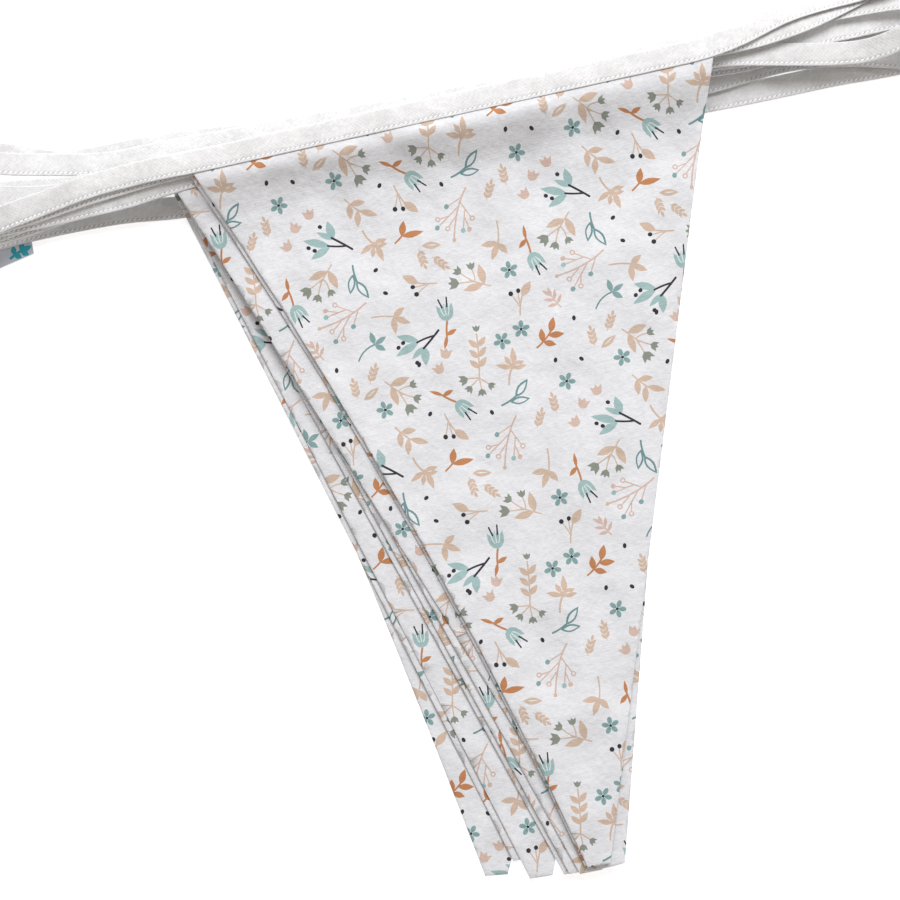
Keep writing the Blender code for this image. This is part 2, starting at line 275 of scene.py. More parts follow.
class PennantCut:
    """The outline of one pennant, from its table row."""

    def __init__(self, number: int) -> None:
        """Read the row of the pennant with this number."""
        values = dict(zip(PENNANT_COLUMNS, PENNANTS[number - 1]))
        self.turn = values["turn"]
        self.left = np.array((values["corner_x"], values["corner_y"])) * MM
        self.along = turned((1.0, 0.0), values["turn"])
        self.up = turned((0.0, 1.0), values["turn"])
        self.right = self.left + self.along * PENNANT_WIDTH
        self.tip = np.array((values["tip_x"], values["tip_y"])) * MM

    def outline(self) -> list[np.ndarray]:
        """Corners anticlockwise from the left top one, seated in the tape."""
        axis = self.tip - (self.left + self.right) / 2
        across = np.array((-axis[1], axis[0])) / np.linalg.norm(axis) * TIP_WIDTH / 2
        seat = self.up * SEAT_DEPTH
        left, right = self.left, self.right
        return [left + seat, left, self.tip - across, self.tip + across, right, right + seat]

    def bowed(self, bow: float) -> list[np.ndarray]:
        """The same outline with its left side drawn in.

        Args:
            bow: how far it is drawn in at its middle.

        Returns:
            The corners, with BOW_STEPS straight edges down the left side.
        """
        top, start, end, *rest = self.outline()
        inward = np.array((start[1] - end[1], end[0] - start[0])) / np.linalg.norm(end - start)
        shares = np.arange(1, BOW_STEPS) / BOW_STEPS
        side = [start + (end - start) * share + inward * bow * 4 * share * (1 - share) for share in shares]
        return [top, start, *side, end, *rest]


def outside(spot: np.ndarray, corners: list[np.ndarray], hollow: int = 0) -> np.ndarray:
    """How far each point lies outside an outline, which is negative inside it.

    Args:
        spot: the points.
        corners: the outline's corners, anticlockwise.
        hollow: how many edges, from the second one on, make one side that bows inwards. The rest is convex.

    Returns:
        The gap at each point.
    """
    gap = np.full(spot.shape[:-1], -1.0)
    side = np.full(spot.shape[:-1], 1.0)
    for at, (start, end) in enumerate(zip(corners, corners[1:] + corners[:1])):
        normal = np.array((end[1] - start[1], start[0] - end[0])) / np.linalg.norm(end - start)
        past = (spot - start) @ normal
        if 1 <= at <= hollow:
            side = np.minimum(side, past)
        else:
            gap = np.maximum(gap, past)
    return np.maximum(gap, side) if hollow else gap


class Layer:
    """One run of the tape, with the pennant that it carries."""

    def __init__(self, number: int) -> None:
        """Lay out the run with this number, 1 on top and 10 at the bottom."""
        self.number = number
        self.cut = PennantCut(number) if number <= len(PENNANTS) else None
        left = [np.array(point) * MM for point in LEFT_ROUTES[number - 1]]
        right = [np.array(point) * MM for point in RIGHT_ROUTES[number - 1]]
        for x, y in LOOPS[max(0, number - 2) : number]:
            side = left if x < 0 else right
            run_in = -math.copysign(LOOP_RUN_IN, x)
            side.append(np.array((x * MM + run_in, y * MM)))
            side.append(np.array((x * MM, y * MM)))
        if self.cut:
            lift = self.cut.up * TAPE_WIDTH / 2
            middle = [self.cut.left + lift, self.cut.right + lift]
            self.full = (self.cut.left[0] - FULL_PAST, self.cut.right[0] + FULL_PAST)
        else:
            middle = []
            self.full = (LABEL_SPAN[0] * MM, LABEL_SPAN[1] * MM)
        self.curve = eased(left[::-1] + middle + right)

    def fullness(self, x: np.ndarray) -> np.ndarray:
        """1 where the tape holds a sheet, and 0 where it is folded flat."""
        rise = smoothstep(self.full[0] - SLOT_EASE, self.full[0], x)
        return rise - smoothstep(self.full[1], self.full[1] + SLOT_EASE, x)

    def slot(self, x: np.ndarray) -> np.ndarray:
        """The height of the space between the leaves."""
        return EMPTY_SLOT + (FULL_SLOT - EMPTY_SLOT) * self.fullness(x)

    def lift(self, spot: np.ndarray, sheet_reach: float) -> np.ndarray:
        """How much this layer raises what lies on it.

        Args:
            spot: the places, in metres.
            sheet_reach: how far past its outline the pennant is felt.

        Returns:
            The lift at each place.
        """
        x = spot[..., 0]
        gaps = np.full(x.shape, 1.0)
        for point in self.curve:
            gaps = np.minimum(gaps, np.hypot(spot[..., 0] - point[0], spot[..., 1] - point[1]))
        margin, ease = TAPE_MARGIN, TAPE_EASE
        if sheet_reach == SHEET_OVER_SHEET:
            margin, ease = DRAPE_MARGIN, DRAPE_EASE
        felt = 1 - smoothstep(TAPE_WIDTH / 2 + margin, TAPE_WIDTH / 2 + margin + ease, gaps)
        tape = STRAND_LIFT + (FULL_LIFT - STRAND_LIFT) * self.fullness(x)
        tape = tape + LOOP_LIFT * smoothstep(*LOOP_ZONE, np.abs(x))
        sheet = np.zeros(x.shape)
        if self.cut:
            gap = outside(spot, self.cut.outline())
            sheet = SHEET_LIFT * (1 - smoothstep(sheet_reach, sheet_reach + SHEET_EASE, gap))
        return sheet + (tape - sheet) * felt


class Stack:
    """All the layers, and the heights at which each one lies."""

    def __init__(self) -> None:
        """Lay out the layers and add up what each lies on."""
        self.layers = [Layer(number) for number in range(1, len(PENNANTS) + 2)]
        self.x = np.arange(HEIGHT_X[0], HEIGHT_X[1] + HEIGHT_STEP / 2, HEIGHT_STEP)
        self.y = np.arange(HEIGHT_Y[0], HEIGHT_Y[1] + HEIGHT_STEP / 2, HEIGHT_STEP)
        spot = np.stack(np.meshgrid(self.x, self.y, indexing="ij"), axis=-1)
        self.floors = {}
        for reach in (TAPE_OVER_SHEET, SHEET_OVER_SHEET):
            height = np.zeros(spot.shape[:-1])
            for layer in self.layers[::-1]:
                self.floors[layer.number, reach] = height
                height = height + layer.lift(spot, reach)

    def floor(self, number: int, spot: np.ndarray, reach: float = TAPE_OVER_SHEET) -> np.ndarray:
        """The height on which a layer lies.

        Args:
            number: the layer.
            spot: the places, in metres.
            reach: how far past its outline a pennant below is felt.

        Returns:
            The height at each place.
        """
        grid = self.floors[number, reach]
        across = np.clip((spot[..., 0] - self.x[0]) / HEIGHT_STEP, 0, len(self.x) - 1.001)
        along = np.clip((spot[..., 1] - self.y[0]) / HEIGHT_STEP, 0, len(self.y) - 1.001)
        i, j = across.astype(int), along.astype(int)
        u, v = across - i, along - j
        low = grid[i, j] * (1 - u) + grid[i + 1, j] * u
        high = grid[i, j + 1] * (1 - u) + grid[i + 1, j + 1] * u
        return low * (1 - v) + high * v

    def seat(self, number: int, spot: np.ndarray, edge_point: np.ndarray, edge_up: np.ndarray) -> np.ndarray:
        """The height of each place on the straight line across the tape that holds it."""
        edge_along = np.array((edge_up[1], -edge_up[0]))
        low = edge_point + np.outer((spot - edge_point) @ edge_along, edge_along)
        low_floor = self.floor(number, low)
        high_floor = self.floor(number, low + edge_up * TAPE_WIDTH)
        share = np.clip((spot - edge_point) @ edge_up / TAPE_WIDTH, 0, 1)
        return low_floor + (high_floor - low_floor) * share


# ---------------------------------------------------------------- the print


class Ink(Enum):
    """The colours of the print, and of the label's mark."""

    GROUND = "#E3E4E8"
    TEAL = "#84A4A4"
    TEAL_LINE = "#6F9396"
    AQUA = "#9FBBBB"
    PALE = "#DCE6E6"
    PLUM = "#39333D"
    RUST = "#C0845A"
    TAN = "#CFB8A6"
    BLUSH = "#D1B8AC"
    SAGE = "#8B9187"
    CHARCOAL = "#33343A"
    SATIN = "#CBD0DA"
    TURQUOISE = "#2FA3B4"


@dataclass(frozen=True)
class Spot:
    """Where a motif is printed: its place in mm, its turn in degrees, and whether it is mirrored."""

    x: float
    y: float
    turn: float = 0.0
    mirrored: bool = False

    def place(self, points: np.ndarray) -> np.ndarray:
        """Carry points from the motif's own frame to the cloth."""
        points = np.asarray(points, float)
        if self.mirrored:
            points = points * (1, -1)
        angle = math.radians(self.turn)
        spin = np.array(((math.cos(angle), math.sin(angle)), (-math.sin(angle), math.cos(angle))))
        return points @ spin + (self.x, self.y)


@dataclass
class Drawing:
    """Flat printed shapes, in the order in which the inks are laid."""

    shapes: list[tuple[Ink, np.ndarray]] = field(default_factory=list)

    def add(self, ink: Ink, spot: Spot, outline: list) -> None:
        """Add one shape, with its corners anticlockwise."""
        points = spot.place(outline)
        x, y = points.T
        if np.sum(x * np.roll(y, -1) - y * np.roll(x, -1)) < 0:
            points = points[::-1]
        self.shapes.append((ink, points))

    def oval(
        self, ink: Ink, spot: Spot, x: float, y: float, length: float, width: float, turn: float = 0.0
    ) -> None:
        """Draw an oval about a point."""
        angles = np.linspace(0, 2 * math.pi, 10, endpoint=False)
        local = np.stack((np.cos(angles) * length / 2, np.sin(angles) * width / 2), axis=1)
        self.add(ink, spot, Spot(x, y, turn).place(local))

    def leaf(
        self,
        ink: Ink,
        spot: Spot,
        x: float,
        y: float,
        turn: float,
        length: float,
        width: float,
        bend: float = 0.06,
    ) -> None:
        """Draw a pointed leaf from its base, bent to one side as a share of its length."""
        shares = np.array((0.1, 0.27, 0.46, 0.66, 0.85))
        half = width / 2 * np.sin(math.pi * shares**0.9)
        under = np.stack((shares * length, -half), axis=1)
        over = np.stack((shares * length, half * 1.1), axis=1)[::-1]
        local = np.vstack(((0, 0), under, (length, 0), over))
        local[:, 1] += bend * local[:, 0] ** 2 / length
        self.add(ink, spot, Spot(x, y, turn).place(local))

    def outlined_leaf(
        self, ink: Ink, spot: Spot, x: float, y: float, turn: float, length: float, width: float
    ) -> None:
        """Draw a leaf as a line round bare cloth."""
        self.leaf(ink, spot, x, y, turn, length, width)
        way = turned((1.0, 0.0), turn) * length * 0.15
        self.leaf(Ink.GROUND, spot, x + way[0], y + way[1], turn, length * 0.7, width * 0.56)

    def stroke(self, ink: Ink, spot: Spot, points: list, width: float) -> None:
        """Draw a line of a given width, bent through three points or straight through two."""
        points = np.asarray(points, float)
        if len(points) == 3:
            t = np.linspace(0, 1, 6)[:, None]
            points = (1 - t) ** 2 * points[0] + 2 * t * (1 - t) * points[1] + t**2 * points[2]
        along = np.gradient(points, axis=0)
        along /= np.linalg.norm(along, axis=1)[:, None]
        aside = np.stack((-along[:, 1], along[:, 0]), axis=1) * width / 2
        tip = points[-1] + along[-1] * width * 0.4
        tail = points[0] - along[0] * width * 0.3
        self.add(ink, spot, np.vstack((tail, points - aside, tip, (points + aside)[::-1])))

    def ring(self, ink: Ink, spot: Spot, x: float, y: float, size: float) -> None:
        """Draw an open berry."""
        self.oval(ink, spot, x, y, size, size)
        self.oval(Ink.GROUND, spot, x, y, size * 0.5, size * 0.5)

    def bud(self, ink: Ink, spot: Spot, x: float, y: float, turn: float, size: float) -> None:
        """Draw a tulip bud from its base, with three points."""
        half = ((0.3, 0.42), (0.95, 0.58), (0.74, 0.2))
        local = [(0, 0), *((x, -y) for x, y in half), (1.05, 0.0), *half[::-1]]
        self.add(ink, spot, Spot(x, y, turn).place(np.array(local) * size))


class Motif(Enum):
    """The kinds of motif in the print, and how often each is printed in one repeat."""

    FLOWER = "five-petal flower"
    BELL = "bell flower on a leafy stem"
    SPRAY = "broad leaves on a dark fork, with berries"
    PAIR = "two outlined leaves"
    TREFOIL = "three leaves on a curved stem"
    FORK = "two narrow leaves"
    QUARTET = "four narrow leaves"
    BOUQUET = "leaves with tulip buds"
    FERN = "paired leaves with tulip buds"
    LILY = "star lily"
    SPRIG = "four soft leaves"
    TWIG = "three soft leaves"
    BERRIED_LEAF = "one leaf with two berries"
    BERRY_BRANCH = "branch of berries"
    FROND = "small frond"
    EAR = "ear of wheat"
    HUSK = "outlined husk"
    TULIP = "tiny tulip"
    SEED = "seed"


# Where each motif is printed in one repeat: its place in mm, its turn in degrees, and True where mirrored
CHART = {
    Motif.FLOWER: (
        (44.5, -13.8, 10),
        (21.2, -18.2, 40),
        (8.7, -62.1, 0),
        (-0.1, -88.5, 30),
        (8.2, -85.7, 62),
    ),
    Motif.BELL: ((-20.7, -19.3, -52), (19.3, -60.5, -70, True), (-19.2, -73.0, 90, True)),
    Motif.SPRAY: ((45.7, -40.9, 151), (-23.3, -79.0, 207, True)),
    Motif.PAIR: ((-5.7, -22.0, 10), (44.3, -47.0, 261)),
    Motif.TREFOIL: ((38.5, -84.3, 34),),
    Motif.FORK: ((-32.7, -42.3, 35),),
    Motif.QUARTET: ((12.6, -94.2, 35),),
    Motif.BOUQUET: ((-48.3, -3.0, -51), (36.3, -45.0, 224), (0.3, -66.7, 155, True)),
    Motif.FERN: ((-9.2, 7.6, -99),),
    Motif.LILY: ((1.7, -8.0, -117, True), (-40.7, -41.0, 122)),
    Motif.SPRIG: ((-48.3, -21.3, -50),),
    Motif.TWIG: ((8.0, -42.3, -99), (-48.0, -68.7, -10)),
    Motif.BERRIED_LEAF: ((-28.3, -20.3, -80), (-20.0, -61.0, 177, True), (9.0, -80.3, 82, True)),
    Motif.BERRY_BRANCH: ((-1.0, -27.0, -120), (46.3, -62.5, 202, True)),
    Motif.FROND: ((25.3, -80.7, 118),),
    Motif.EAR: (
        (35.0, -7.2, 92),
        (41.0, -2.4, 60),
        (14.7, -29.4, 92),
        (5.9, -33.6, 62),
        (-24.2, -46.6, -82),
        (-19.6, -50.6, -48),
    ),
    Motif.HUSK: ((37.2, -8.4, 25), (-22.6, -45.4, -14)),
    Motif.TULIP: (
        (-23.3, 0.9, 70),
        (-25.9, -4.3, 110),
        (32.0, -25.9, 95),
        (24.7, -29.6, 60),
        (21.7, -35.9, 120),
    ),
    Motif.SEED: (
        (-33.7, 0.5, 60),
        (18.7, -9.2, 70),
        (28.7, -10.9, 130),
        (-33.7, -19.2, 50),
        (-10.0, -23.8, 110),
        (-42.3, -50.9, 30),
        (-40.5, -60.5, 150),
        (29.3, -85.9, 80),
    ),
}


@dataclass
class SprigPrint(Drawing):
    """One repeat of the sprig print, as screen-printed on the cotton."""

    width: float = 95.0
    height: float = 91.2

    def __post_init__(self) -> None:
        """Print every motif where the chart puts it."""
        for motif, rows in CHART.items():
            for row in rows:
                getattr(self, motif.name.lower())(Spot(*row))

    def flower(self, spot: Spot) -> None:
        """Five round petals about a dark eye."""
        for petal in range(5):
            angle = 72 * petal + 18
            x, y = turned((2.05, 0.0), angle)
            self.oval(Ink.TEAL, spot, x, y, 3.0, 1.95, angle)
            x, y = turned((1.1, 0.0), angle)
            self.stroke(Ink.TEAL_LINE, spot, ((0, 0), (x * 1.6, y * 1.6)), 0.3)
        self.oval(Ink.CHARCOAL, spot, 0, 0, 1.25, 1.1)

    def bell(self, spot: Spot) -> None:
        """A scalloped bell with two stamens, on a stem with two small leaves."""
        self.stroke(Ink.RUST, spot, ((-9.2, -1.5), (-6.0, -1.2), (-3.0, 0)), 0.8)
        self.leaf(Ink.RUST, spot, -8.6, -1.4, 196, 5.8, 1.4, 0.1)
        self.leaf(Ink.RUST, spot, -8.8, -1.5, 66, 4.6, 1.8)
        half = ((-3.4, 0), (-2.7, 1.7), (-1.2, 2.8), (1.0, 3.2), (3.4, 3.1))
        half += ((2.3, 2.0), (3.9, 1.3), (2.6, 0.35), (3.9, 0))
        mirrored = [(x, -y) for x, y in half[-2:0:-1]]
        self.add(Ink.AQUA, spot, [*half, *mirrored][::-1])
        for aside in (-1.5, 0.0, 1.5):
            self.stroke(Ink.PALE, spot, ((2.9, aside * 1.15), (0.2, aside * 1.1), (-1.0, aside * 0.5)), 0.4)
        self.stroke(Ink.PLUM, spot, ((2.0, 0.9), (5.9, 1.5)), 0.6)
        self.stroke(Ink.PLUM, spot, ((2.0, -1.0), (5.6, -1.9)), 0.6)

    def spray(self, spot: Spot) -> None:
        """Four broad leaves on a dark fork, with three berries."""
        low = ((8.4, -1.6, -58, 7.4, 3.3), (8.4, -1.4, -10, 7.0, 2.2))
        high = ((9.0, 1.4, 3, 10.6, 3.1), (8.8, 1.8, 47, 8.8, 2.9))
        for leaf in low + high:
            self.leaf(Ink.AQUA, spot, *leaf)
        self.stroke(Ink.PLUM, spot, ((0, 0), (4, -1.0), (9.3, -1.9)), 0.85)
        self.stroke(Ink.PLUM, spot, ((2.8, -0.6), (6, 0.9), (9.8, 1.6)), 0.75)
        for x, y in ((14.7, -4.6), (16.6, 4.6), (14.0, 4.9)):
            self.oval(Ink.CHARCOAL, spot, x, y, 1.8, 1.6)

    def pair(self, spot: Spot) -> None:
        """Two outlined leaves on one stem."""
        self.stroke(Ink.TEAL_LINE, spot, ((0, 0), (3, 0.0), (6.6, 1.3)), 0.75)
        self.outlined_leaf(Ink.TEAL_LINE, spot, 6.2, 1.0, 30, 8.6, 3.3)
        self.outlined_leaf(Ink.TEAL_LINE, spot, 3.6, 0.0, -15, 8.0, 3.0)

    def trefoil(self, spot: Spot) -> None:
        """Three solid leaves on a curved stem."""
        self.stroke(Ink.TEAL_LINE, spot, ((0, 0), (4.4, 2.2), (9.2, 0)), 0.6)
        for leaf in ((9.0, 0.1, 58, 5.2, 2.2), (9.2, 0.0, -14, 5.4, 2.0), (9.0, -0.1, -76, 4.8, 2.2)):
            self.leaf(Ink.TEAL, spot, *leaf)

    def fork(self, spot: Spot) -> None:
        """Two narrow leaves."""
        self.stroke(Ink.RUST, spot, ((0, 0), (2, -0.2), (4.4, 0)), 0.7)
        for leaf in ((3.8, 0, 32, 6.2, 2.7), (3.8, 0, -38, 8.8, 2.5)):
            self.leaf(Ink.RUST, spot, *leaf)

    def quartet(self, spot: Spot) -> None:
        """Four narrow leaves."""
        self.stroke(Ink.RUST, spot, ((0, 0), (4, -0.6), (8.6, 0.4)), 0.7)
        above = ((3.2, -0.2, 46, 5.4, 2.5), (8.0, 0.2, 28, 6.2, 2.7))
        below = ((6.6, 0.0, -44, 6.4, 2.5), (3.4, -0.3, -62, 5.2, 2.4))
        for leaf in above + below:
            self.leaf(Ink.RUST, spot, *leaf)

    def bouquet(self, spot: Spot) -> None:
        """Two soft leaves and three tulip buds."""
        self.stroke(Ink.TAN, spot, ((0, 0), (4, 0.2), (8.6, 0.4)), 0.55)
        for leaf in ((2.6, 0.2, 58, 8.2, 3.1), (3.2, 0.0, -34, 8.0, 2.9)):
            self.leaf(Ink.TAN, spot, *leaf)
        for x, y, turn, size in ((8.6, 4.6, 62, 3.0), (12.4, 2.2, 20, 3.3), (12.2, -1.6, -14, 4.3)):
            self.stroke(Ink.TAN, spot, ((6.6, 0.3), (x - 2, y * 0.5), (x, y)), 0.5)
            self.bud(Ink.SAGE, spot, x, y, turn, size)

    def fern(self, spot: Spot) -> None:
        """Paired leaves down a stem, with a fan of tulip buds at its end."""
        self.stroke(Ink.TAN, spot, ((0, 0), (9, 0.6), (18.0, 0)), 0.6)
        for x in (5.2, 9.2, 13.2):
            self.leaf(Ink.TAN, spot, x, 0.3, 138, 5.0, 2.2)
            self.leaf(Ink.TAN, spot, x + 0.5, 0.2, -138, 5.0, 2.2)
        self.bud(Ink.SAGE, spot, -0.6, 0.0, 182, 2.6)
        buds = ((17.4, -4.4, -74, 3.6), (20.4, -3.2, -38, 2.9), (21.6, 0.6, 6, 3.0), (19.8, 3.4, 52, 2.8))
        for x, y, turn, size in buds:
            self.stroke(Ink.TAN, spot, ((17.4, 0), (x, y)), 0.5)
            self.bud(Ink.SAGE, spot, x, y, turn, size)

    def lily(self, spot: Spot) -> None:
        """A star lily with five petals and a stalk."""
        self.stroke(Ink.TAN, spot, ((0, 0), (4, 0.6), (7.2, -0.6)), 0.75)
        petals = (
            (176, 7.4, 2.5, -0.2),
            (66, 6.4, 2.2, 0.25),
            (122, 5.2, 2.1, 0.1),
            (-96, 5.4, 2.2, -0.25),
            (-142, 5.0, 2.2, 0.2),
        )
        for turn, length, width, bend in petals:
            self.leaf(Ink.TAN, spot, 0, 0, turn, length, width, bend)
        self.oval(Ink.TAN, spot, 0, 0, 2.6, 2.4)
        for turn in (100, 150, -122):
            x, y = turned((1.3, 0.0), turn)
            self.stroke(Ink.GROUND, spot, ((x, y), (x * 2.2, y * 2.2)), 0.32)

    def sprig(self, spot: Spot) -> None:
        """Four soft leaves."""
        self.stroke(Ink.TAN, spot, ((0, 0), (4, -0.4), (8.2, 0)), 0.6)
        leaves = ((2.6, -0.3, -50, 6.2), (3.0, 0, 42, 6.0), (6.8, -0.2, -56, 6.6), (7.4, 0, 22, 7.6))
        for x, y, turn, length in leaves:
            self.leaf(Ink.TAN, spot, x, y, turn, length, 2.5)

    def twig(self, spot: Spot) -> None:
        """Three soft leaves at the end of a long stem."""
        self.stroke(Ink.TAN, spot, ((0, 0), (4.6, 0.8), (9.0, 0)), 0.6)
        for turn, length in ((36, 5.6), (-26, 7.2), (-88, 6.8)):
            self.leaf(Ink.TAN, spot, 8.6, 0, turn, length, 2.5)

    def berried_leaf(self, spot: Spot) -> None:
        """One leaf and two dark berries."""
        self.stroke(Ink.TAN, spot, ((0, 0), (4.4, 0.2), (8.2, 1.6)), 0.6)
        self.leaf(Ink.TAN, spot, 7.2, 1.2, 30, 7.0, 3.2)
        self.stroke(Ink.TAN, spot, ((3.4, 0.1), (5.8, -1.0), (8.2, -2.8)), 0.45)
        self.stroke(Ink.TAN, spot, ((4.4, 0.2), (9.0, -0.2)), 0.45)
        self.oval(Ink.CHARCOAL, spot, 8.6, -3.0, 2.0, 1.9)
        self.oval(Ink.CHARCOAL, spot, 9.6, 0.0, 1.9, 1.7)

    def berry_branch(self, spot: Spot) -> None:
        """A branch of open and filled berries."""
        self.stroke(Ink.BLUSH, spot, ((0, 0), (9, -1.6), (20.6, 1.8)), 0.65)
        twigs = (
            ((4.0, -0.4), (9.2, -4.6)),
            ((8.0, -0.6), (18.0, -5.6)),
            ((12.6, -2.9), (15.0, -6.2)),
            ((12.0, -0.4), (17.0, -1.8)),
            ((6.0, -0.5), (10.4, 5.6)),
            ((8.0, 2.2), (15.8, 4.0)),
            ((11.0, 2.9), (14.6, 6.0)),
        )
        for start, end in twigs:
            self.stroke(Ink.BLUSH, spot, (start, end), 0.5)
        for x, y in ((15.2, -6.6), (10.6, 6.1), (17.4, -1.8)):
            self.ring(Ink.BLUSH, spot, x, y, 2.2)
        berries = ((Ink.TEAL, 9.4, -4.9), (Ink.TEAL, 18.4, -5.8), (Ink.AQUA, 16.2, 4.1))
        for ink, x, y in (*berries, (Ink.BLUSH, 15.0, 6.3)):
            self.oval(ink, spot, x, y, 2.1, 1.9)
        self.oval(Ink.TAN, spot, 20.8, 1.9, 1.7, 1.5)

    def frond(self, spot: Spot) -> None:
        """A small frond of narrow leaves."""
        self.stroke(Ink.BLUSH, spot, ((0, 0), (3, 0.3), (6.4, 0)), 0.55)
        above = ((1.8, 62, 4.2), (3.6, 44, 4.6), (5.8, 16, 4.2))
        below = ((2.0, -64, 4.0), (3.8, -44, 4.4), (5.6, -18, 3.8))
        for x, turn, length in above + below:
            self.leaf(Ink.BLUSH, spot, x, 0.1, turn, length, 1.3)

    def ear(self, spot: Spot) -> None:
        """An ear of wheat: paired grains on a spine."""
        self.stroke(Ink.TAN, spot, ((0, 0), (3.4, 0.2), (6.8, 0)), 0.3)
        for x in (0.7, 2.5, 4.3):
            self.leaf(Ink.TAN, spot, x, 0.1, 34, 2.8, 1.2)
            self.leaf(Ink.TAN, spot, x + 0.3, -0.1, -34, 2.8, 1.2)
        self.leaf(Ink.TAN, spot, 6.0, 0, 2, 2.6, 1.2)

    def husk(self, spot: Spot) -> None:
        """A husk with a pale middle."""
        self.leaf(Ink.TAN, spot, 0, 0, 0, 7.6, 2.7)
        self.leaf(Ink.PALE, spot, 1.7, 0.2, 2, 4.4, 0.45)

    def tulip(self, spot: Spot) -> None:
        """A tiny tulip head."""
        self.bud(Ink.BLUSH, spot, -0.4, 0, 0, 4.2)
        self.oval(Ink.BLUSH, spot, 1.2, 0, 3.0, 3.8)

    def seed(self, spot: Spot) -> None:
        """A dark seed."""
        self.oval(Ink.CHARCOAL, spot, 0, 0, 2.1, 1.5)

    def over(self, low: np.ndarray, high: np.ndarray) -> list[tuple[Ink, np.ndarray]]:
        """The print's shapes over a piece of cloth.

        Args:
            low: the piece's lowest corner on the printed cloth, in mm.
            high: its highest corner.

        Returns:
            Every shape that may touch the piece.
        """
        found = []
        columns = range(math.floor(low[0] / self.width) - 1, math.ceil(high[0] / self.width) + 2)
        rows = range(math.floor(low[1] / self.height) - 1, math.ceil(high[1] / self.height) + 2)
        for column in columns:
            for row in rows:
                shift = np.array((column * self.width, row * self.height))
                for ink, outline in self.shapes:
                    moved = outline + shift
                    if np.all(moved.max(axis=0) > low) and np.all(moved.min(axis=0) < high):
                        found.append((ink, moved))
        return found


# ---------------------------------------------------------------- the finishes


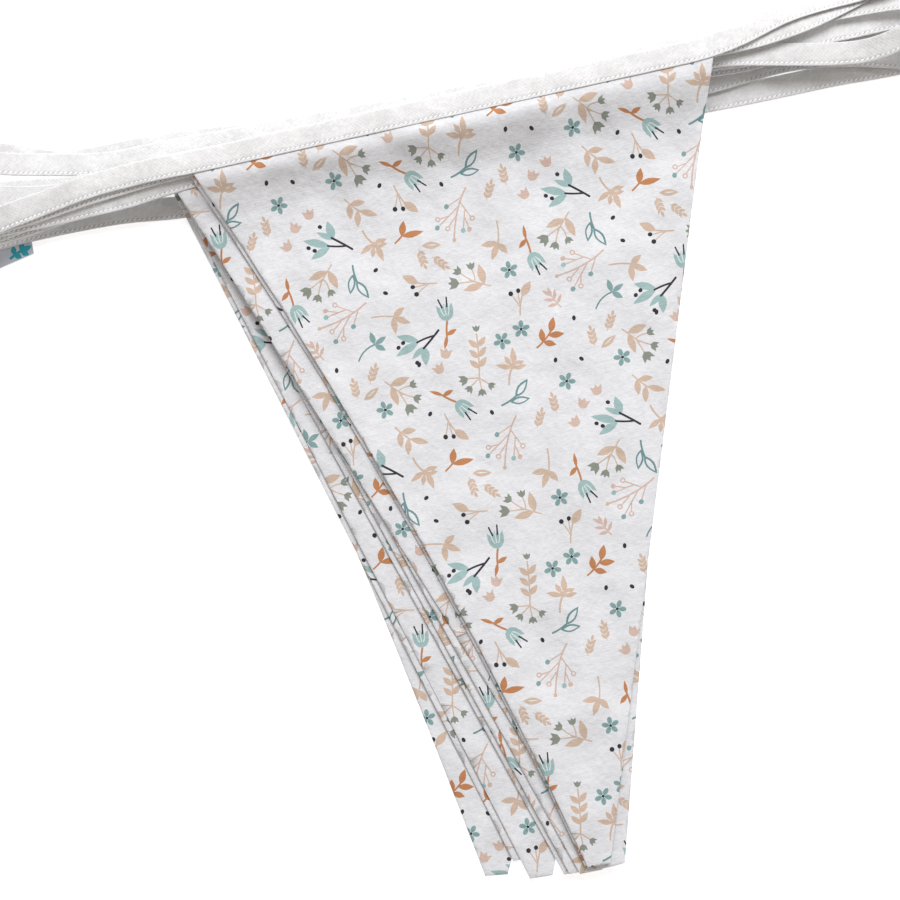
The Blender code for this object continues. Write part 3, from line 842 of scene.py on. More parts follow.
@dataclass(frozen=True)
class Cloth:
    """A woven finish, drawn on the piece's UV map, which is in metres of flat cloth.

    mottle is the share of the colour that slubs take off; the soft rumples take off a further share as
    painted shade. A cloth without a shade takes its colour from the piece's print. The seam's needle holes,
    darkened with painted shade, lie seam_place in from either open edge of a strip that is seam_around wide.
    """

    name: str
    thread: float
    weave_turn: float
    weave_height: float
    mottle: float
    roughness: float
    sheen: float
    shade: str = ""
    rumple: float = 0.0
    rumple_size: float = 12 * MM
    rumple_shade_share: float = 0.03
    seam_pitch: float = 0.0
    seam_place: float = 0.0
    seam_around: float = 0.0
    painted_hole_shade: tuple[float, float, float, float] = (0.74, 0.74, 0.76, 1.0)

    def needle_hole_shade(self, tree: bpy.types.NodeTree, flat: bpy.types.NodeSocket) -> bpy.types.NodeSocket:
        """Mask the painted shade in the small hollows where the needle went through, between one stitch and
        the next.

        Args:
            tree: the material's tree.
            flat: the place on the flat cloth.

        Returns:
            The mask of painted shade, 1 in a hollow.
        """
        place = add_node(tree, "ShaderNodeSeparateXYZ", links={0: flat}).outputs
        turns = {"operation": "MULTIPLY_ADD", 1: 2 * math.pi / self.seam_pitch, 2: math.pi}
        phase = add_node(tree, "ShaderNodeMath", turns, {0: place["X"]})
        swing = add_node(tree, "ShaderNodeMath", {"operation": "COSINE"}, {0: phase.outputs[0]})
        spread = {"From Min": -0.6, "From Max": 0.8, "To Min": 0.25}
        dots = add_node(tree, "ShaderNodeMapRange", spread, {"Value": swing.outputs[0]})
        folded = {"operation": "PINGPONG", 1: self.seam_around / 2}
        edge = add_node(tree, "ShaderNodeMath", folded, {0: place["Y"]})
        line = {"operation": "SUBTRACT", 1: self.seam_place}
        gap = add_node(tree, "ShaderNodeMath", line, {0: edge.outputs[0]})
        away = add_node(tree, "ShaderNodeMath", {"operation": "ABSOLUTE"}, {0: gap.outputs[0]})
        near = {"From Min": 0.15 * MM, "From Max": 0.55 * MM, "To Min": 1.0, "To Max": 0.0}
        band = add_node(tree, "ShaderNodeMapRange", near, {"Value": away.outputs[0]})
        both = {0: dots.outputs[0], 1: band.outputs[0]}
        return add_node(tree, "ShaderNodeMath", {"operation": "MULTIPLY"}, both).outputs[0]

    def build(self) -> bpy.types.Material:
        """Make the material."""
        surface = {"Roughness": self.roughness, "Metallic": 0.0, "IOR": 1.5, "Specular IOR Level": 0.25}
        material, shader = new_finish(
            self.name, {**surface, "Sheen Weight": self.sheen, "Sheen Roughness": 0.5}
        )
        tree = material.node_tree
        flat = add_node(tree, "ShaderNodeUVMap", {"uv_map": "flat"}).outputs[0]
        grain = {"Rotation": (0, 0, math.radians(self.weave_turn))}
        turn = add_node(tree, "ShaderNodeMapping", grain, {"Vector": flat}).outputs[0]
        # Plain weave: the warp and the weft as two crossed sets of ridges, a thread apart
        ridges = []
        for direction in ("X", "Y"):
            settings = {"wave_type": "BANDS", "bands_direction": direction, "wave_profile": "SIN"}
            settings["Scale"] = math.pi / 10 / (2 * self.thread)
            settings["Distortion"] = 1.2
            settings["Detail"] = 2.0
            settings["Detail Scale"] = 1.5
            ridges.append(add_node(tree, "ShaderNodeTexWave", settings, {"Vector": turn}).outputs[1])
        crossed = {0: ridges[0], 1: ridges[1]}
        weave = add_node(tree, "ShaderNodeMath", {"operation": "MULTIPLY"}, crossed)
        # Uneven yarn and slubs: small flecks, a little longer along the weft
        stretch = add_node(tree, "ShaderNodeMapping", {"Scale": (0.45, 1.0, 1.0)}, {"Vector": turn})
        yarn = {"Scale": 0.55 / self.thread, "Detail": 3.0, "Roughness": 0.65}
        slub = add_node(tree, "ShaderNodeTexNoise", yarn, {"Vector": stretch.outputs[0]}).outputs["Fac"]
        spread = {"From Min": 0.32, "From Max": 0.68, "To Min": 1.0 - self.mottle, "To Max": 1.0}
        flecks = add_node(tree, "ShaderNodeMapRange", spread, {"Value": slub})
        # Soft rumples a finger's width apart, and painted shade that darkens the colour along them
        creases = {"Scale": 1.0 / self.rumple_size, "Detail": 4.0, "Roughness": 0.55}
        soft = add_node(tree, "ShaderNodeTexNoise", creases, {"Vector": flat}).outputs["Fac"]
        spread = {"From Min": 0.3, "From Max": 0.7, "To Min": 1.0 - self.rumple_shade_share, "To Max": 1.0}
        painted_rumple_shade = add_node(tree, "ShaderNodeMapRange", spread, {"Value": soft})
        shades = {0: flecks.outputs[0], 1: painted_rumple_shade.outputs[0]}
        both = add_node(tree, "ShaderNodeMath", {"operation": "MULTIPLY"}, shades)
        multiply = {"data_type": "RGBA", "blend_type": "MULTIPLY"}
        colour = add_node(tree, "ShaderNodeMix", {**multiply, 0: 1.0}, {7: both.outputs[0]})
        if self.shade:
            colour.inputs[6].default_value = (*linear(self.shade), 1.0)
        else:
            printed = add_node(tree, "ShaderNodeVertexColor", {"layer_name": "print"})
            tree.links.new(printed.outputs["Color"], colour.inputs[6])
        finished = colour.outputs[2]
        # Painted shade: the needle holes between the stitches are darkened
        if self.seam_pitch:
            sources = {0: self.needle_hole_shade(tree, flat), 6: finished}
            finished = add_node(tree, "ShaderNodeMix", {**multiply, 7: self.painted_hole_shade}, sources).outputs[2]
        tree.links.new(finished, shader.inputs["Base Color"])
        raised = {0: slub, 2: weave.outputs[0]}
        height = add_node(tree, "ShaderNodeMath", {"operation": "MULTIPLY_ADD", 1: 0.8}, raised)
        threads = {"Strength": 1.0, "Distance": self.weave_height}
        fine = add_node(tree, "ShaderNodeBump", threads, {"Height": height.outputs[0]})
        folds = {"Strength": 1.0, "Distance": self.rumple}
        rumple = add_node(tree, "ShaderNodeBump", folds, {"Height": soft, "Normal": fine.outputs[0]})
        tree.links.new(rumple.outputs[0], shader.inputs["Normal"])
        return material


@dataclass(frozen=True)
class Thread:
    """A spun thread, ribbed by its twist. Its pattern lies on the piece's own coordinates."""

    name: str
    shade: str
    roughness: float
    twist: float
    twist_height: float

    def build(self) -> bpy.types.Material:
        """Make the material."""
        surface = {"Base Color": (*linear(self.shade), 1.0), "Roughness": self.roughness}
        material, shader = new_finish(self.name, {**surface, "Specular IOR Level": 0.3, "Sheen Weight": 0.1})
        tree = material.node_tree
        place = add_node(tree, "ShaderNodeTexCoord").outputs["Object"]
        twist = {"wave_type": "BANDS", "bands_direction": "DIAGONAL", "Scale": math.pi / 10 / self.twist}
        ribs = add_node(tree, "ShaderNodeTexWave", twist, {"Vector": place})
        raised = {"Strength": 1.0, "Distance": self.twist_height}
        bump = add_node(tree, "ShaderNodeBump", raised, {"Height": ribs.outputs[1]})
        tree.links.new(bump.outputs[0], shader.inputs["Normal"])
        return material


# Places around the tape's outside, on the flat cloth: the seam lies this far in from either open edge
TAPE_AROUND = 18.9 * MM
SEAM_PLACE = 1.35 * MM
STITCH_PITCH = 1.95 * MM

# Screen-printed cotton poplin: matt, with a fine plain weave. The real threads are 0.25 mm apart, too fine
# to show, so they are drawn 0.5 mm apart. Painted shade darkens its colour a little along the soft rumples.
PRINTED_COTTON = Cloth(
    "printed cotton poplin",
    thread=0.5 * MM,
    weave_turn=0.0,
    weave_height=0.03 * MM,
    mottle=0.12,
    roughness=0.88,
    sheen=0.1,
    rumple=1.9 * MM,
    rumple_size=17 * MM,
    rumple_shade_share=0.11,
)
# White cotton bias tape: the same plain weave, a little coarser, with its threads drawn 0.55 mm apart. It is
# cut on the cross, so they run at 45 degrees. Painted shade darkens it along its soft rumples and in the
# needle holes between its stitches.
BIAS_COTTON = Cloth(
    "white bias cotton",
    thread=0.55 * MM,
    weave_turn=45.0,
    weave_height=0.06 * MM,
    mottle=0.14,
    roughness=0.8,
    sheen=0.15,
    shade="#EAEAEB",
    rumple=1.1 * MM,
    rumple_size=9 * MM,
    rumple_shade_share=0.17,
    seam_pitch=STITCH_PITCH,
    seam_place=SEAM_PLACE,
    seam_around=TAPE_AROUND,
)
# Woven satin label: smooth and slightly glossy, with its threads close together, and a faint painted shade
# along its rumples
LABEL_SATIN = Cloth(
    "woven label satin",
    thread=0.3 * MM,
    weave_turn=0.0,
    weave_height=0.03 * MM,
    mottle=0.06,
    roughness=0.5,
    sheen=0.3,
    rumple=0.2 * MM,
)
# Spun polyester sewing thread: white, with a soft shine
SEWING_THREAD = Thread(
    "white sewing thread", shade="#F8F8F9", roughness=0.6, twist=0.4 * MM, twist_height=0.03 * MM
)


# ---------------------------------------------------------------- the pieces


def smooth_piece(
    name: str, points: np.ndarray, faces: list, material: bpy.types.Material
) -> bpy.types.Object:
    """Make a smooth-shaded piece at the origin.

    Args:
        name: the piece's name.
        points: its corners, along the top line's frame, in metres.
        faces: its faces' corner numbers.
        material: its finish.

    Returns:
        The new object, in the scene.
    """
    mesh = bpy.data.meshes.new(name)
    mesh.from_pydata((np.asarray(points) + (0, TOP_LINE_Y, 0)).tolist(), [], faces)
    mesh.materials.append(material)
    mesh.shade_smooth()
    piece = bpy.data.objects.new(name, mesh)
    bpy.context.scene.collection.objects.link(piece)
    return piece


def map_flat(piece: bpy.types.Object, corners: np.ndarray) -> None:
    """Give a piece its flat cloth coordinates, one pair for each face corner."""
    layer = piece.data.uv_layers.new(name="flat")
    layer.data.foreach_set("uv", np.asarray(corners, np.float32).ravel())


# A sheet's rows of points along its rim and the start of its grid, as shares of the rim's width
RIM_ROWS = (0.3, 1.0)
GRID_INSET = 1.6
ON_EDGE = 1e-7
CUT_TOLERANCE = 0.004  # in mm, as the drawing is


@dataclass
class PrintedSheet:
    """A sheet of cloth of two layers, with a drawing inlaid in it."""

    outline: list[np.ndarray]
    grid: float
    rim: float = 1.3 * MM
    fine_band: float = 0.0
    hollow: int = 0

    def flat_points(self) -> np.ndarray:
        """Points all over the sheet that let it bend, in metres."""
        corners = np.array(self.outline)
        low, high = corners.min(axis=0), corners.max(axis=0)
        spots = []
        steps = [(self.grid, low[1], high[1])]
        if self.fine_band:
            steps = [(self.grid, low[1], -self.fine_band), (self.grid / 2, -self.fine_band, high[1])]
        for step, start, end in steps:
            x, y = np.meshgrid(np.arange(low[0], high[0], step), np.arange(start, end, step), indexing="ij")
            spots.append(np.stack((x.ravel(), y.ravel()), axis=1))
        spots = np.vstack(spots)
        kept = spots[outside(spots, self.outline, self.hollow) < -self.rim * GRID_INSET]
        edges = []
        for start, end in zip(corners, np.roll(corners, -1, axis=0)):
            length = np.linalg.norm(end - start)
            shares = np.linspace(0, 1, max(2, round(length / self.grid)) + 1)[:, None]
            line = start + (end - start) * shares
            normal = np.array((end[1] - start[1], start[0] - end[0])) / length
            edges.append(line[1:-1])
            for inset in RIM_ROWS:
                edges.append(line - normal * (self.rim * inset))
        edges = np.vstack(edges)
        edges = edges[outside(edges, self.outline, self.hollow) < ON_EDGE]
        return np.vstack((kept, edges))

    def inlay(self, shapes: list[tuple[Ink, np.ndarray]]) -> tuple[np.ndarray, np.ndarray, list[Ink]]:
        """Cut the sheet along the edges of a drawing.

        Args:
            shapes: the drawing, in mm.

        Returns:
            The flat corners in metres, the triangles, and each triangle's ink.
        """
        points, outlines, inks = [], [], [None]
        for ink, outline in [(None, np.array(self.outline) / MM), *shapes]:
            outlines.append(list(range(len(points), len(points) + len(outline))))
            points.extend(outline)
            if ink:
                inks.append(ink)
        points.extend(self.flat_points() / MM)
        places = [Vector(point) for point in points]
        flat, _, triangles, _, _, sources = delaunay_2d_cdt(places, [], outlines, 1, CUT_TOLERANCE)
        kept, found = [], []
        for triangle, source in zip(triangles, sources):
            if 0 in source:
                kept.append(triangle)
                top = max(source)
                found.append(inks[top] if top else Ink.GROUND)
        return np.array(flat) * MM, np.array(kept), found

    def thickness(self, gap: np.ndarray, full: np.ndarray) -> np.ndarray:
        """The sheet's thickness, rounded off towards its folded edge.

        Args:
            gap: how far each place lies inside the outline.
            full: the thickness away from the edge.

        Returns:
            The thickness at each place.
        """
        share = np.clip(gap / self.rim, 0.0, 1.0)
        return full * (0.25 + 0.75 * np.sqrt(1 - (1 - share) ** 2))

    def build(
        self,
        name: str,
        material: bpy.types.Material,
        flat: np.ndarray,
        triangles: np.ndarray,
        inks: list[Ink],
        heights: tuple[np.ndarray, np.ndarray],
        grain: np.ndarray,
        base: Ink,
    ) -> bpy.types.Object:
        """Make the sheet's mesh: two faces joined along the rim.

        Args:
            name: the piece's name.
            material: its finish.
            flat: where each corner lies, in metres.
            triangles: the corners of each triangle.
            inks: each triangle's ink.
            heights: the lower and the upper face's height at each corner.
            grain: each corner's place on the flat cloth.
            base: the cloth's own colour.

        Returns:
            The new object.
        """
        used = np.unique(triangles)
        renumber = np.full(len(flat), -1)
        renumber[used] = np.arange(len(used))
        triangles, flat, grain, count = renumber[triangles], flat[used], grain[used], len(used)
        over = np.column_stack((flat, heights[1][used]))
        under = np.column_stack((flat, heights[0][used]))
        edges = np.vstack([triangles[:, [a, b]] for a, b in ((0, 1), (1, 2), (2, 0))])
        keys = np.sort(edges, axis=1)
        _, first, seen = np.unique(keys, axis=0, return_index=True, return_counts=True)
        rim = edges[first[seen == 1]]
        walls = np.column_stack((rim[:, 0], rim[:, 0] + count, rim[:, 1] + count, rim[:, 1]))
        faces = [*triangles.tolist(), *(triangles[:, ::-1] + count).tolist(), *walls.tolist()]
        piece = smooth_piece(name, np.vstack((over, under)), faces, material)
        palette = {ink: (*linear(ink.value), 1.0) for ink in Ink}
        each = np.array([palette[ink] if ink is not Ink.GROUND else palette[base] for ink in inks])
        plain = np.tile(palette[base], (len(walls) * 4, 1))
        colours = np.vstack((np.repeat(each, 3, axis=0), np.repeat(each, 3, axis=0), plain))
        layer = piece.data.color_attributes.new("print", "FLOAT_COLOR", "CORNER")
        layer.data.foreach_set("color", colours.astype(np.float32).ravel())
        corners = np.concatenate((triangles.ravel(), triangles[:, ::-1].ravel(), (walls % count).ravel()))
        map_flat(piece, grain[corners])
        return piece


@dataclass
class Pennant:
    """One pennant: two printed layers sewn together and turned, with its top edge in the tape."""

    stack: Stack
    number: int
    cloth: SprigPrint
    finish: bpy.types.Material
    body: float = 0.75 * MM
    wave: float = 0.18 * MM
    ripple: float = 0.42 * MM
    ripple_lengths: tuple[float, float] = (0.022, 0.045)
    wave_lengths: tuple[float, float] = (0.045, 0.11)
    pucker: float = 0.10 * MM
    pucker_pitch: float = 7.5 * MM
    pucker_drift: float = 31 * MM
    pucker_below: float = 5 * MM
    pucker_reach: float = 7 * MM
    seated_inset: float = 10 * MM  # inside the tape the edge is not rounded
    seed: int = 11

    def waves(self, spot: np.ndarray) -> np.ndarray:
        """Small slow waves, different in each pennant."""
        draw = np.random.default_rng(self.seed + self.number)
        height = np.zeros(len(spot))
        for _ in range(5):
            angle = draw.uniform(0, math.pi)
            length = draw.uniform(*self.wave_lengths)
            phase = draw.uniform(0, 2 * math.pi)
            way = (math.cos(angle), math.sin(angle))
            height += np.sin(spot @ way * 2 * math.pi / length + phase)
        return height * self.wave / 2.2

    def swells(self, spot: np.ndarray, cut: PennantCut) -> np.ndarray:
        """Broad soft folds of the top pennant, and the puckers under its tape."""
        height = np.zeros(len(spot))
        below = (cut.left - spot) @ cut.up
        draw = np.random.default_rng(self.seed)
        for _ in range(9):
            way = turned((1.0, 0.0), draw.uniform(0, 180))
            length = draw.uniform(*self.ripple_lengths)
            height += np.sin(spot @ way * 2 * math.pi / length + draw.uniform(0, 6.3)) * self.ripple / 3
        drift = 1.8 * np.sin(spot[:, 0] / self.pucker_drift)
        pucker = np.sin(spot[:, 0] / self.pucker_pitch * 2 * math.pi + drift)
        height += self.pucker * pucker * np.exp(-((below - self.pucker_below) ** 2) / self.pucker_reach**2)
        for x, y, wide, tall, turn, rise in FOLDS:
            frame_axes = np.stack((turned((1, 0), turn), turned((0, 1), turn)), axis=1)
            local = (spot - np.array((x, y)) * MM) @ frame_axes
            crest = (local[:, 0] / (wide * MM)) ** 2 + (local[:, 1] / (tall * MM)) ** 2
            height += rise * MM * np.exp(-crest)
        return height

    def printed(
        self, cut: PennantCut, outline: list[np.ndarray], hollow: int
    ) -> list[tuple[Ink, np.ndarray]]:
        """The print on the pennant, which runs with the pennant's own top edge.

        Args:
            cut: the pennant's cut.
            outline: its outline, in metres.
            hollow: how many of the outline's edges make its bowed side.

        Returns:
            Each shape's ink and its corners, in mm.
        """
        home = np.array(PRINT_HOME) + np.array(PRINT_SHIFTS[self.number - 1])
        low = home - (PRINT_MARGIN, PENNANT_LENGTH / MM + PRINT_MARGIN)
        high = home + (PENNANT_WIDTH / MM + PRINT_MARGIN, PRINT_MARGIN)
        on_cloth = Spot(*(cut.left / MM), cut.turn)
        shapes = []
        for ink, drawn in self.cloth.over(low, high):
            placed = on_cloth.place(drawn - home)
            if np.min(outside(placed * MM, outline, hollow)) < 0:
                shapes.append((ink, placed))
        return shapes

    def build(self) -> bpy.types.Object:
        layer = self.stack.layers[self.number - 1]
        cut = layer.cut
        bow = PENNANT_BOWS[self.number - 1] * MM
        outline = cut.bowed(bow) if bow else cut.outline()
        hollow = BOW_STEPS if bow else 0
        top = self.number == 1
        sheet = PrintedSheet(outline, 4 * MM if top else 6 * MM, fine_band=28 * MM, hollow=hollow)
        flat, triangles, inks = sheet.inlay(self.printed(cut, outline, hollow))
        floor = self.stack.floor(self.number, flat, SHEET_OVER_SHEET)
        below = (cut.left - flat) @ cut.up
        loose = smoothstep(*SEAT_EASE, below)
        middle = (float(layer.slot(cut.left[0])) + 2 * LEAF) / 2
        seat = self.stack.seat(self.number, flat, cut.left, cut.up) + middle - SEATED_THICKNESS / 2
        gap = np.where(below < 0, self.seated_inset, -outside(flat, outline, hollow))
        full = SEATED_THICKNESS + (self.body - SEATED_THICKNESS) * loose
        thick = sheet.thickness(gap, full)
        spare = (SHEET_THICKNESS - self.body) / 2
        under = floor + (seat - floor) * (1 - loose) + loose * spare
        under = under + (full - thick) / 2
        under = under + self.waves(flat) * smoothstep(1 * MM, 14 * MM, below)
        if top:
            under = under + self.swells(flat, cut) * smoothstep(-0.5 * MM, 3 * MM, below)
        under = np.maximum(under, 0.0)
        name = f"pennant_{self.number}_cloth"
        grain = Spot(0, 0, -cut.turn).place(flat - cut.left)
        heights = (under, under + thick)
        piece = sheet.build(name, self.finish, flat, triangles, inks, heights, grain, Ink.GROUND)
        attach(piece, "root")
        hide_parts(f"pennant_{self.number}")
        area = (PENNANT_WIDTH + TIP_WIDTH) / 2 * (PENNANT_LENGTH - SEAT_DEPTH) + PENNANT_WIDTH * SEAT_DEPTH
        # A parabola takes two thirds of its depth times its chord
        area -= bow * 2 / 3 * float(np.linalg.norm(cut.left - cut.tip))
        log.info("%s: %d faces", name, len(piece.data.polygons))
        return piece


# One stitch, and the seed of its small uneven turns
STITCH_SIZES = {
    "Length": 1.9 * MM,
    "Width": 0.6 * MM,
    "Height": 0.46 * MM,
    "Slant": math.radians(24),
    "Seed": 5,
}


@dataclass
class Station:
    """One cross section of the tape."""

    centre: np.ndarray
    across: np.ndarray
    up: np.ndarray
    half_slot: float


@dataclass
class BiasTape:
    """The bias tape: one folded strip that runs back and forth through every layer."""

    stack: Stack
    finish: bpy.types.Material
    thread: bpy.types.Material
    step: int = 2
    loop_steps: int = 14
    fold_sides: int = 7
    inner_sides: int = 5
    stitch_pitch: float = STITCH_PITCH
    stitch_inset: float = 1.1 * MM
    stitch_proud: float = 0.1 * MM
    groove: float = 0.24 * MM

    def run(self, layer: Layer) -> list[Station]:
        """The cross sections along one run, from left to right."""
        kept = list(range(0, len(layer.curve) - 1, self.step)) + [len(layer.curve) - 1]
        along = np.gradient(layer.curve, axis=0)[kept]
        along /= np.linalg.norm(along, axis=1)[:, None]
        across = np.stack((-along[:, 1], along[:, 0]), axis=1)
        middle = layer.curve[kept]
        low = middle - across * TAPE_WIDTH / 2
        high = middle + across * TAPE_WIDTH / 2
        half_slots = layer.slot(middle[:, 0]) / 2
        lows = np.column_stack((low, self.stack.floor(layer.number, low) + half_slots + LEAF))
        highs = np.column_stack((high, self.stack.floor(layer.number, high) + half_slots + LEAF))
        up = np.array((0, 0, 1.0 if layer.number % 2 else -1.0))
        edges = zip(lows, highs, half_slots)
        return [Station((a + b) / 2, (b - a) / TAPE_WIDTH, up, float(half)) for a, b, half in edges]

    def loop(self, upper: Station, lower: Station) -> list[Station]:
        """The cross sections round a loop between two runs."""
        centre = (upper.centre + lower.centre) / 2
        radius = (upper.centre[2] - lower.centre[2]) / 2
        outward = np.array((math.copysign(1, centre[0]), 0, 0))
        stations = []
        for step in range(1, self.loop_steps):
            share = step / self.loop_steps
            angle = math.pi * share
            away = np.array((0, 0, math.cos(angle))) + outward * math.sin(angle)
            across = upper.across * (1 - share) + lower.across * share
            stations.append(Station(centre + away * radius, across, away * upper.up[2], upper.half_slot))
        return stations

    def path(self) -> list[Station]:
        """The cross sections from one end of the tape to the other."""
        path = []
        for layer in self.stack.layers:
            run = self.run(layer)
            if layer.number % 2 == 0:
                run.reverse()
            if path:
                path.extend(self.loop(path[-1], run[0]))
            path.extend(run)
        return path

    def section(self, half_slot: float) -> np.ndarray:
        """The folded section, open at its lower edge, as pairs of place across and place up."""
        half = TAPE_WIDTH / 2
        outer = half_slot + LEAF
        # Across one leaf, in mm: the turned-in edge, the groove that the stitches pull, and the flat
        dips = ((0.3, 0.03), (0.6, -0.02), (1.1, self.groove / MM), (1.7, 0.0), (2.6, -0.06))
        dips += ((4.2, -0.08), (6.0, -0.04))
        under = [(-half, -half_slot - LEAF * 0.35)]
        under += [(-half + place * MM, -outer + dip * MM) for place, dip in dips]
        turn = np.linspace(-90, 90, self.fold_sides)
        fold = [tuple((half - outer, 0) + turned((outer, 0), angle)) for angle in turn]
        over = [(x, -y) for x, y in under[::-1]]
        inner = np.linspace(90, -90, self.inner_sides)
        inside = [tuple((half - outer, 0) + turned((half_slot, 0), angle)) for angle in inner]
        inside = [(-half, half_slot), *inside, (-half, -half_slot)]
        return np.array(under + fold + over + inside)

    def build(self) -> bpy.types.Object:
        path = self.path()
        centres = np.array([at.centre for at in path])
        travel = np.concatenate(((0.0,), np.cumsum(np.linalg.norm(np.diff(centres, axis=0), axis=1))))
        rings = []
        for at in path:
            shape = self.section(at.half_slot)
            rings.append(at.centre + shape[:, :1] * at.across + shape[:, 1:] * at.up)
        sides = len(rings[0])
        shape = self.section(EMPTY_SLOT / 2)
        loop = np.vstack((shape, shape[:1]))
        around = np.concatenate(((0.0,), np.cumsum(np.linalg.norm(np.diff(loop, axis=0), axis=1))))
        faces, flat = [], []
        for at in range(len(path) - 1):
            for side in range(sides):
                after = (side + 1) % sides
                here, there = at * sides, (at + 1) * sides
                faces.append((here + side, here + after, there + after, there + side))
                for ring, corner in ((at, side), (at, side + 1), (at + 1, side + 1), (at + 1, side)):
                    flat.append((travel[ring], around[corner]))
        last = (len(path) - 1) * sides
        faces.append(tuple(range(sides))[::-1])
        faces.append(tuple(range(last, last + sides)))
        flat.extend([(0.0, 0.0)] * sides)
        flat.extend([(travel[-1], 0.0)] * sides)
        piece = smooth_piece("bias_tape_cloth", np.vstack(rings), faces, self.finish)
        map_flat(piece, flat)
        stitches = self.stitches(path, travel)
        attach(piece, "root")
        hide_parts("bias_tape")
        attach(stitches, "root")
        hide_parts("bias_tape")
        log.info("tape_stitches: %d faces", len(stitches.data.polygons))
        return piece

    def stitches(self, path: list[Station], travel: np.ndarray) -> bpy.types.Object:
        """Sew the tape along its open edge, on both faces.

        Args:
            path: the tape's cross sections.
            travel: how far along the tape each one is.

        Returns:
            The stitches, as one mesh.
        """
        places = np.arange(self.stitch_pitch, travel[-1] - self.stitch_pitch, self.stitch_pitch)
        centres, across, ups = (
            np.array([getattr(at, name) for at in path]) for name in ("centre", "across", "up")
        )
        halves = np.array([at.half_slot for at in path])
        aside = -TAPE_WIDTH / 2 + self.stitch_inset
        raised = halves[:, None] + LEAF - self.groove + self.stitch_proud

        def sampled(where: np.ndarray, lines: np.ndarray) -> np.ndarray:
            """Read lines of values at places along the tape."""
            return np.stack([np.interp(where, travel, column) for column in lines.T], axis=1)

        points, along, out = [], [], []
        for face in (1, -1):
            lines = centres + across * aside + ups * face * raised
            spots = sampled(places, lines)
            points.append(spots)
            along.append(sampled(places + 0.5 * MM, lines) - spots)
            out.append(sampled(places, ups) * face)
        points = np.vstack(points) + (0, TOP_LINE_Y, 0)
        mesh = bpy.data.meshes.new("stitch places")
        mesh.from_pydata(points.tolist(), [], [])
        for name, values in (("stitch_along", np.vstack(along)), ("stitch_out", np.vstack(out))):
            attribute = mesh.attributes.new(name, "FLOAT_VECTOR", "POINT")
            attribute.data.foreach_set("vector", values.astype(np.float32).ravel())
        guide = bpy.data.objects.new("stitch places", mesh)
        bpy.context.scene.collection.objects.link(guide)
        modifier = guide.modifiers.new("sewing", "NODES")
        modifier.node_group = StitchTree(self.thread).build()
        for item in modifier.node_group.interface.items_tree:
            if item.name in STITCH_SIZES:
                modifier[item.identifier] = STITCH_SIZES[item.name]
        shown = guide.evaluated_get(bpy.context.evaluated_depsgraph_get())
        sewn = bpy.data.meshes.new_from_object(shown)
        sewn.name = "tape_stitches"
        bpy.data.objects.remove(guide)
        sewn.shade_smooth()
        piece = bpy.data.objects.new("tape_stitches", sewn)
        bpy.context.scene.collection.objects.link(piece)
        return piece


@dataclass(frozen=True)
class StitchTree:
    """The Geometry Nodes tree that sets one stitch at every point, along the seam and flat on the cloth."""

    thread: bpy.types.Material

    def build(self) -> bpy.types.NodeTree:
        """Make the tree."""
        tree = bpy.data.node_groups.new("sewn line", "GeometryNodeTree")
        tree.interface.new_socket("Geometry", in_out="INPUT", socket_type="NodeSocketGeometry")
        for name in ("Length", "Width", "Height", "Slant"):
            socket = tree.interface.new_socket(name, in_out="INPUT", socket_type="NodeSocketFloat")
            socket.min_value, socket.max_value = (-math.pi, math.pi) if name == "Slant" else (0.0, 0.01)
        tree.interface.new_socket("Seed", in_out="INPUT", socket_type="NodeSocketInt")
        tree.interface.new_socket("Geometry", in_out="OUTPUT", socket_type="NodeSocketGeometry")
        given = add_node(tree, "NodeGroupInput").outputs
        ball = add_node(tree, "GeometryNodeMeshUVSphere", {"Segments": 5, "Rings": 4, "Radius": 0.5})
        sides = {"X": given["Height"], "Y": given["Width"], "Z": given["Length"]}
        size = add_node(tree, "ShaderNodeCombineXYZ", links=sides)
        shaped = {"Geometry": ball.outputs["Mesh"], "Scale": size.outputs[0]}
        thin = add_node(tree, "GeometryNodeTransform", links=shaped)
        along, out = (
            add_node(tree, "GeometryNodeInputNamedAttribute", {"data_type": "FLOAT_VECTOR", "Name": name})
            for name in ("stitch_along", "stitch_out")
        )
        run = {"Vector": along.outputs["Attribute"]}
        first = add_node(tree, "FunctionNodeAlignRotationToVector", {"axis": "Z"}, run)
        face = {"Rotation": first.outputs[0], "Vector": out.outputs["Attribute"]}
        pivot = {"axis": "X", "pivot_axis": "Z"}
        second = add_node(tree, "FunctionNodeAlignRotationToVector", pivot, face)
        uneven = {"data_type": "FLOAT", 2: -0.09, 3: 0.09}
        jitter = add_node(tree, "FunctionNodeRandomValue", uneven, {"Seed": given["Seed"]})
        leaning = {0: given["Slant"], 1: jitter.outputs[1]}
        lean = add_node(tree, "ShaderNodeMath", {"operation": "ADD"}, leaning)
        axis = {"Axis": (1.0, 0.0, 0.0)}
        swing = add_node(tree, "FunctionNodeAxisAngleToRotation", axis, {"Angle": lean.outputs[0]})
        turns = {"Rotation": second.outputs[0], "Rotate By": swing.outputs[0]}
        turn = add_node(tree, "FunctionNodeRotateRotation", {"rotation_space": "LOCAL"}, turns)
        setting = {"Points": given["Geometry"], "Instance": thin.outputs[0], "Rotation": turn.outputs[0]}
        sewn = add_node(tree, "GeometryNodeInstanceOnPoints", links=setting)
        real = add_node(tree, "GeometryNodeRealizeInstances", links={"Geometry": sewn.outputs[0]})
        thread = {"Material": self.thread}
        dressed = add_node(tree, "GeometryNodeSetMaterial", thread, {"Geometry": real.outputs[0]})
        add_node(tree, "NodeGroupOutput", links={"Geometry": dressed.outputs[0]})
        return tree


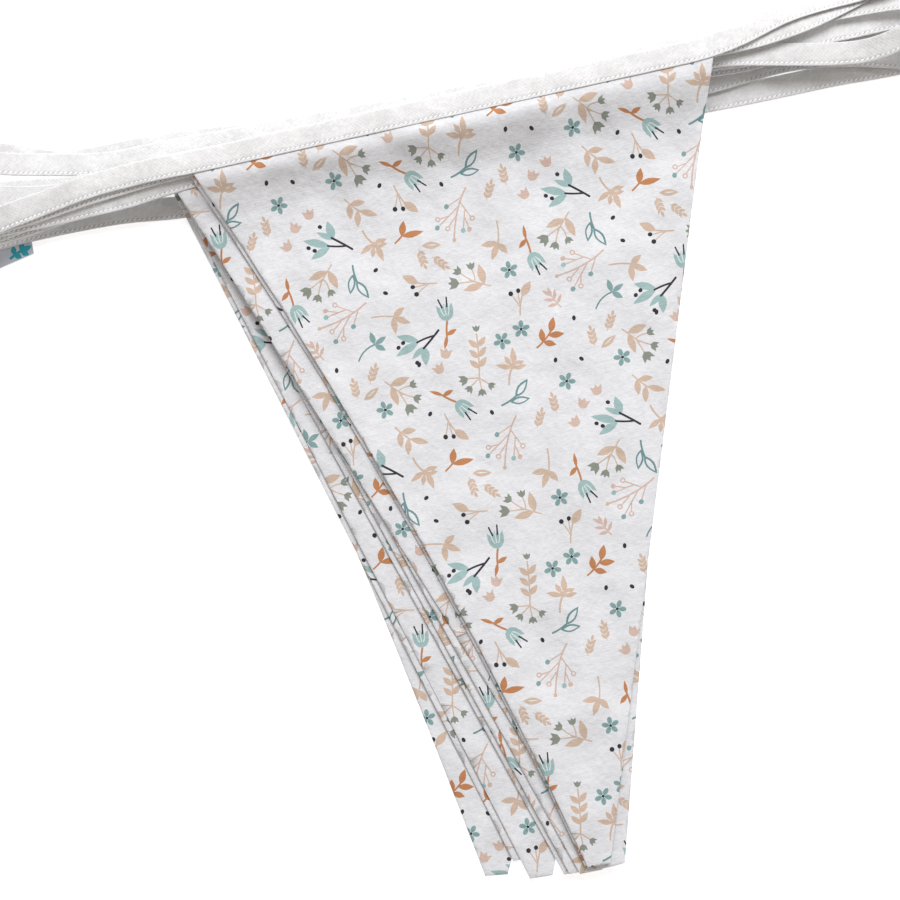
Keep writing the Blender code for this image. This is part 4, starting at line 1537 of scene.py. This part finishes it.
@dataclass
class Label:
    """The satin tab sewn into the tape, with plain leaf sprigs for a mark."""

    stack: Stack
    finish: bpy.types.Material
    body: float = 0.55 * MM

    def mark(self) -> Drawing:
        """Two generic sprigs of leaves."""
        drawing = Drawing()
        back = ((-2.4, 62, 3.6), (-2.2, -52, 3.2))
        front = ((0.8, 52, 4.0), (0.8, -2, 4.8), (0.6, -50, 3.6))
        for x, y in LABEL_MARKS:
            spot = Spot(x, y, MARK_TURN)
            drawing.stroke(Ink.TURQUOISE, spot, ((-4.4, -0.6), (0, 0.6), (3.4, 0)), 1.1)
            for start, turn, length in back + front:
                drawing.leaf(Ink.TURQUOISE, spot, start, 0.1, turn, length, 2.2)
        return drawing

    def build(self) -> bpy.types.Object:
        outline = [np.array(corner) * MM for corner in LABEL_OUTLINE]
        sheet = PrintedSheet(outline, 2.0 * MM, rim=0.6 * MM)
        flat, triangles, inks = sheet.inlay(self.mark().shapes)
        edge = np.array(LABEL_EDGE) * MM
        up = turned((0.0, 1.0), LABEL_TURN)
        layer = self.stack.layers[LABEL_LAYER - 1]
        loose = smoothstep(*SEAT_EASE, (edge - flat) @ up)
        middle = (float(layer.slot(edge[0])) + 2 * LEAF) / 2
        seat = self.stack.seat(LABEL_LAYER, flat, edge, up) + middle - SEATED_THICKNESS / 2
        floor = self.stack.floor(LABEL_LAYER, flat, SHEET_OVER_SHEET)
        full = SEATED_THICKNESS + (self.body - SEATED_THICKNESS) * loose
        thick = sheet.thickness(-outside(flat, outline), full)
        under = floor + (seat - floor) * (1 - loose) + (full - thick) / 2
        heights = (under, under + thick)
        piece = sheet.build("label_tab", self.finish, flat, triangles, inks, heights, flat - edge, Ink.SATIN)
        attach(piece, "root")
        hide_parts("label")
        log.info("label_tab: %d faces", len(piece.data.polygons))
        return piece


# ---------------------------------------------------------------- the studio


@dataclass(frozen=True)
class Lamp:
    """A large soft light."""

    name: str
    place: tuple[float, float, float]
    size: float
    power: float
    tint: str

    def build(self) -> None:
        """Set up the light, aimed at the fan."""
        light = bpy.data.lights.new(self.name, "AREA")
        light.shape = "DISK"
        light.size = self.size
        light.energy = self.power
        light.color = linear(self.tint)
        stand = bpy.data.objects.new(self.name, light)
        stand.location = self.place
        stand.rotation_euler = (Vector((0, 0, 0)) - Vector(self.place)).to_track_quat("-Z", "Y").to_euler()
        bpy.context.scene.collection.objects.link(stand)


@dataclass
class Studio:
    """The table, the light and the camera."""

    lamp: Lamp = Lamp("window light", (0.6, 1.6, 2.0), 1.6, 71.0, "#FCFDFF")
    sky: float = 0.46
    sky_tint: str = "#FFF8F1"
    table_half: float = 3.0
    table_drop: float = 0.3 * MM
    table_glow: float = 0.5
    aim: tuple[float, float] = (-0.0292, -0.0158)
    height: float = 0.90
    subject_height: float = 0.016
    view_width: float = 0.350
    sensor: float = 36.0
    turn: float = -12.53

    def card(self) -> bpy.types.Material:
        """Smooth white card, lit a little from within like a photographer's light table."""
        surface = {"Base Color": (*linear("#FBFBFB"), 1.0), "Roughness": 0.9}
        glow = {"Emission Color": (1.0, 1.0, 1.0, 1.0), "Emission Strength": self.table_glow}
        material, _ = new_finish("white table card", surface | glow)
        return material

    def build(self) -> None:
        """Set up the table, the light and the camera."""
        scene = bpy.context.scene
        signs = ((-1, -1), (1, -1), (1, 1), (-1, 1))
        half = self.table_half
        corners = [(x * half, y * half - TOP_LINE_Y, -self.table_drop) for x, y in signs]
        smooth_piece("table_top", np.array(corners), [(0, 1, 2, 3)], self.card())
        self.lamp.build()
        scene.world = bpy.data.worlds.new("studio")
        scene.world.use_nodes = True
        background = scene.world.node_tree.nodes["Background"]
        background.inputs["Color"].default_value = (*linear(self.sky_tint), 1.0)
        background.inputs["Strength"].default_value = self.sky
        camera = bpy.data.objects.new("camera", bpy.data.cameras.new("camera"))
        camera.location = (*self.aim, self.height)
        camera.rotation_euler = (0, 0, math.radians(self.turn))
        camera.data.sensor_width = self.sensor
        camera.data.lens = self.sensor * (self.height - self.subject_height) / self.view_width
        scene.collection.objects.link(camera)
        scene.camera = camera
        scene.view_settings.view_transform = "Standard"


def main() -> None:
    """Build every piece in order, then the studio."""
    logging.basicConfig(level=logging.INFO, format="%(name)s: %(message)s")
    stack = Stack()
    cloth = SprigPrint()
    cotton = PRINTED_COTTON.build()
    for number in range(1, len(PENNANTS) + 1):
        Pennant(stack, number, cloth, cotton).build()
    BiasTape(stack, BIAS_COTTON.build(), SEWING_THREAD.build()).build()
    Label(stack, LABEL_SATIN.build()).build()
    Studio().build()


if __name__ == "__main__":
    main()
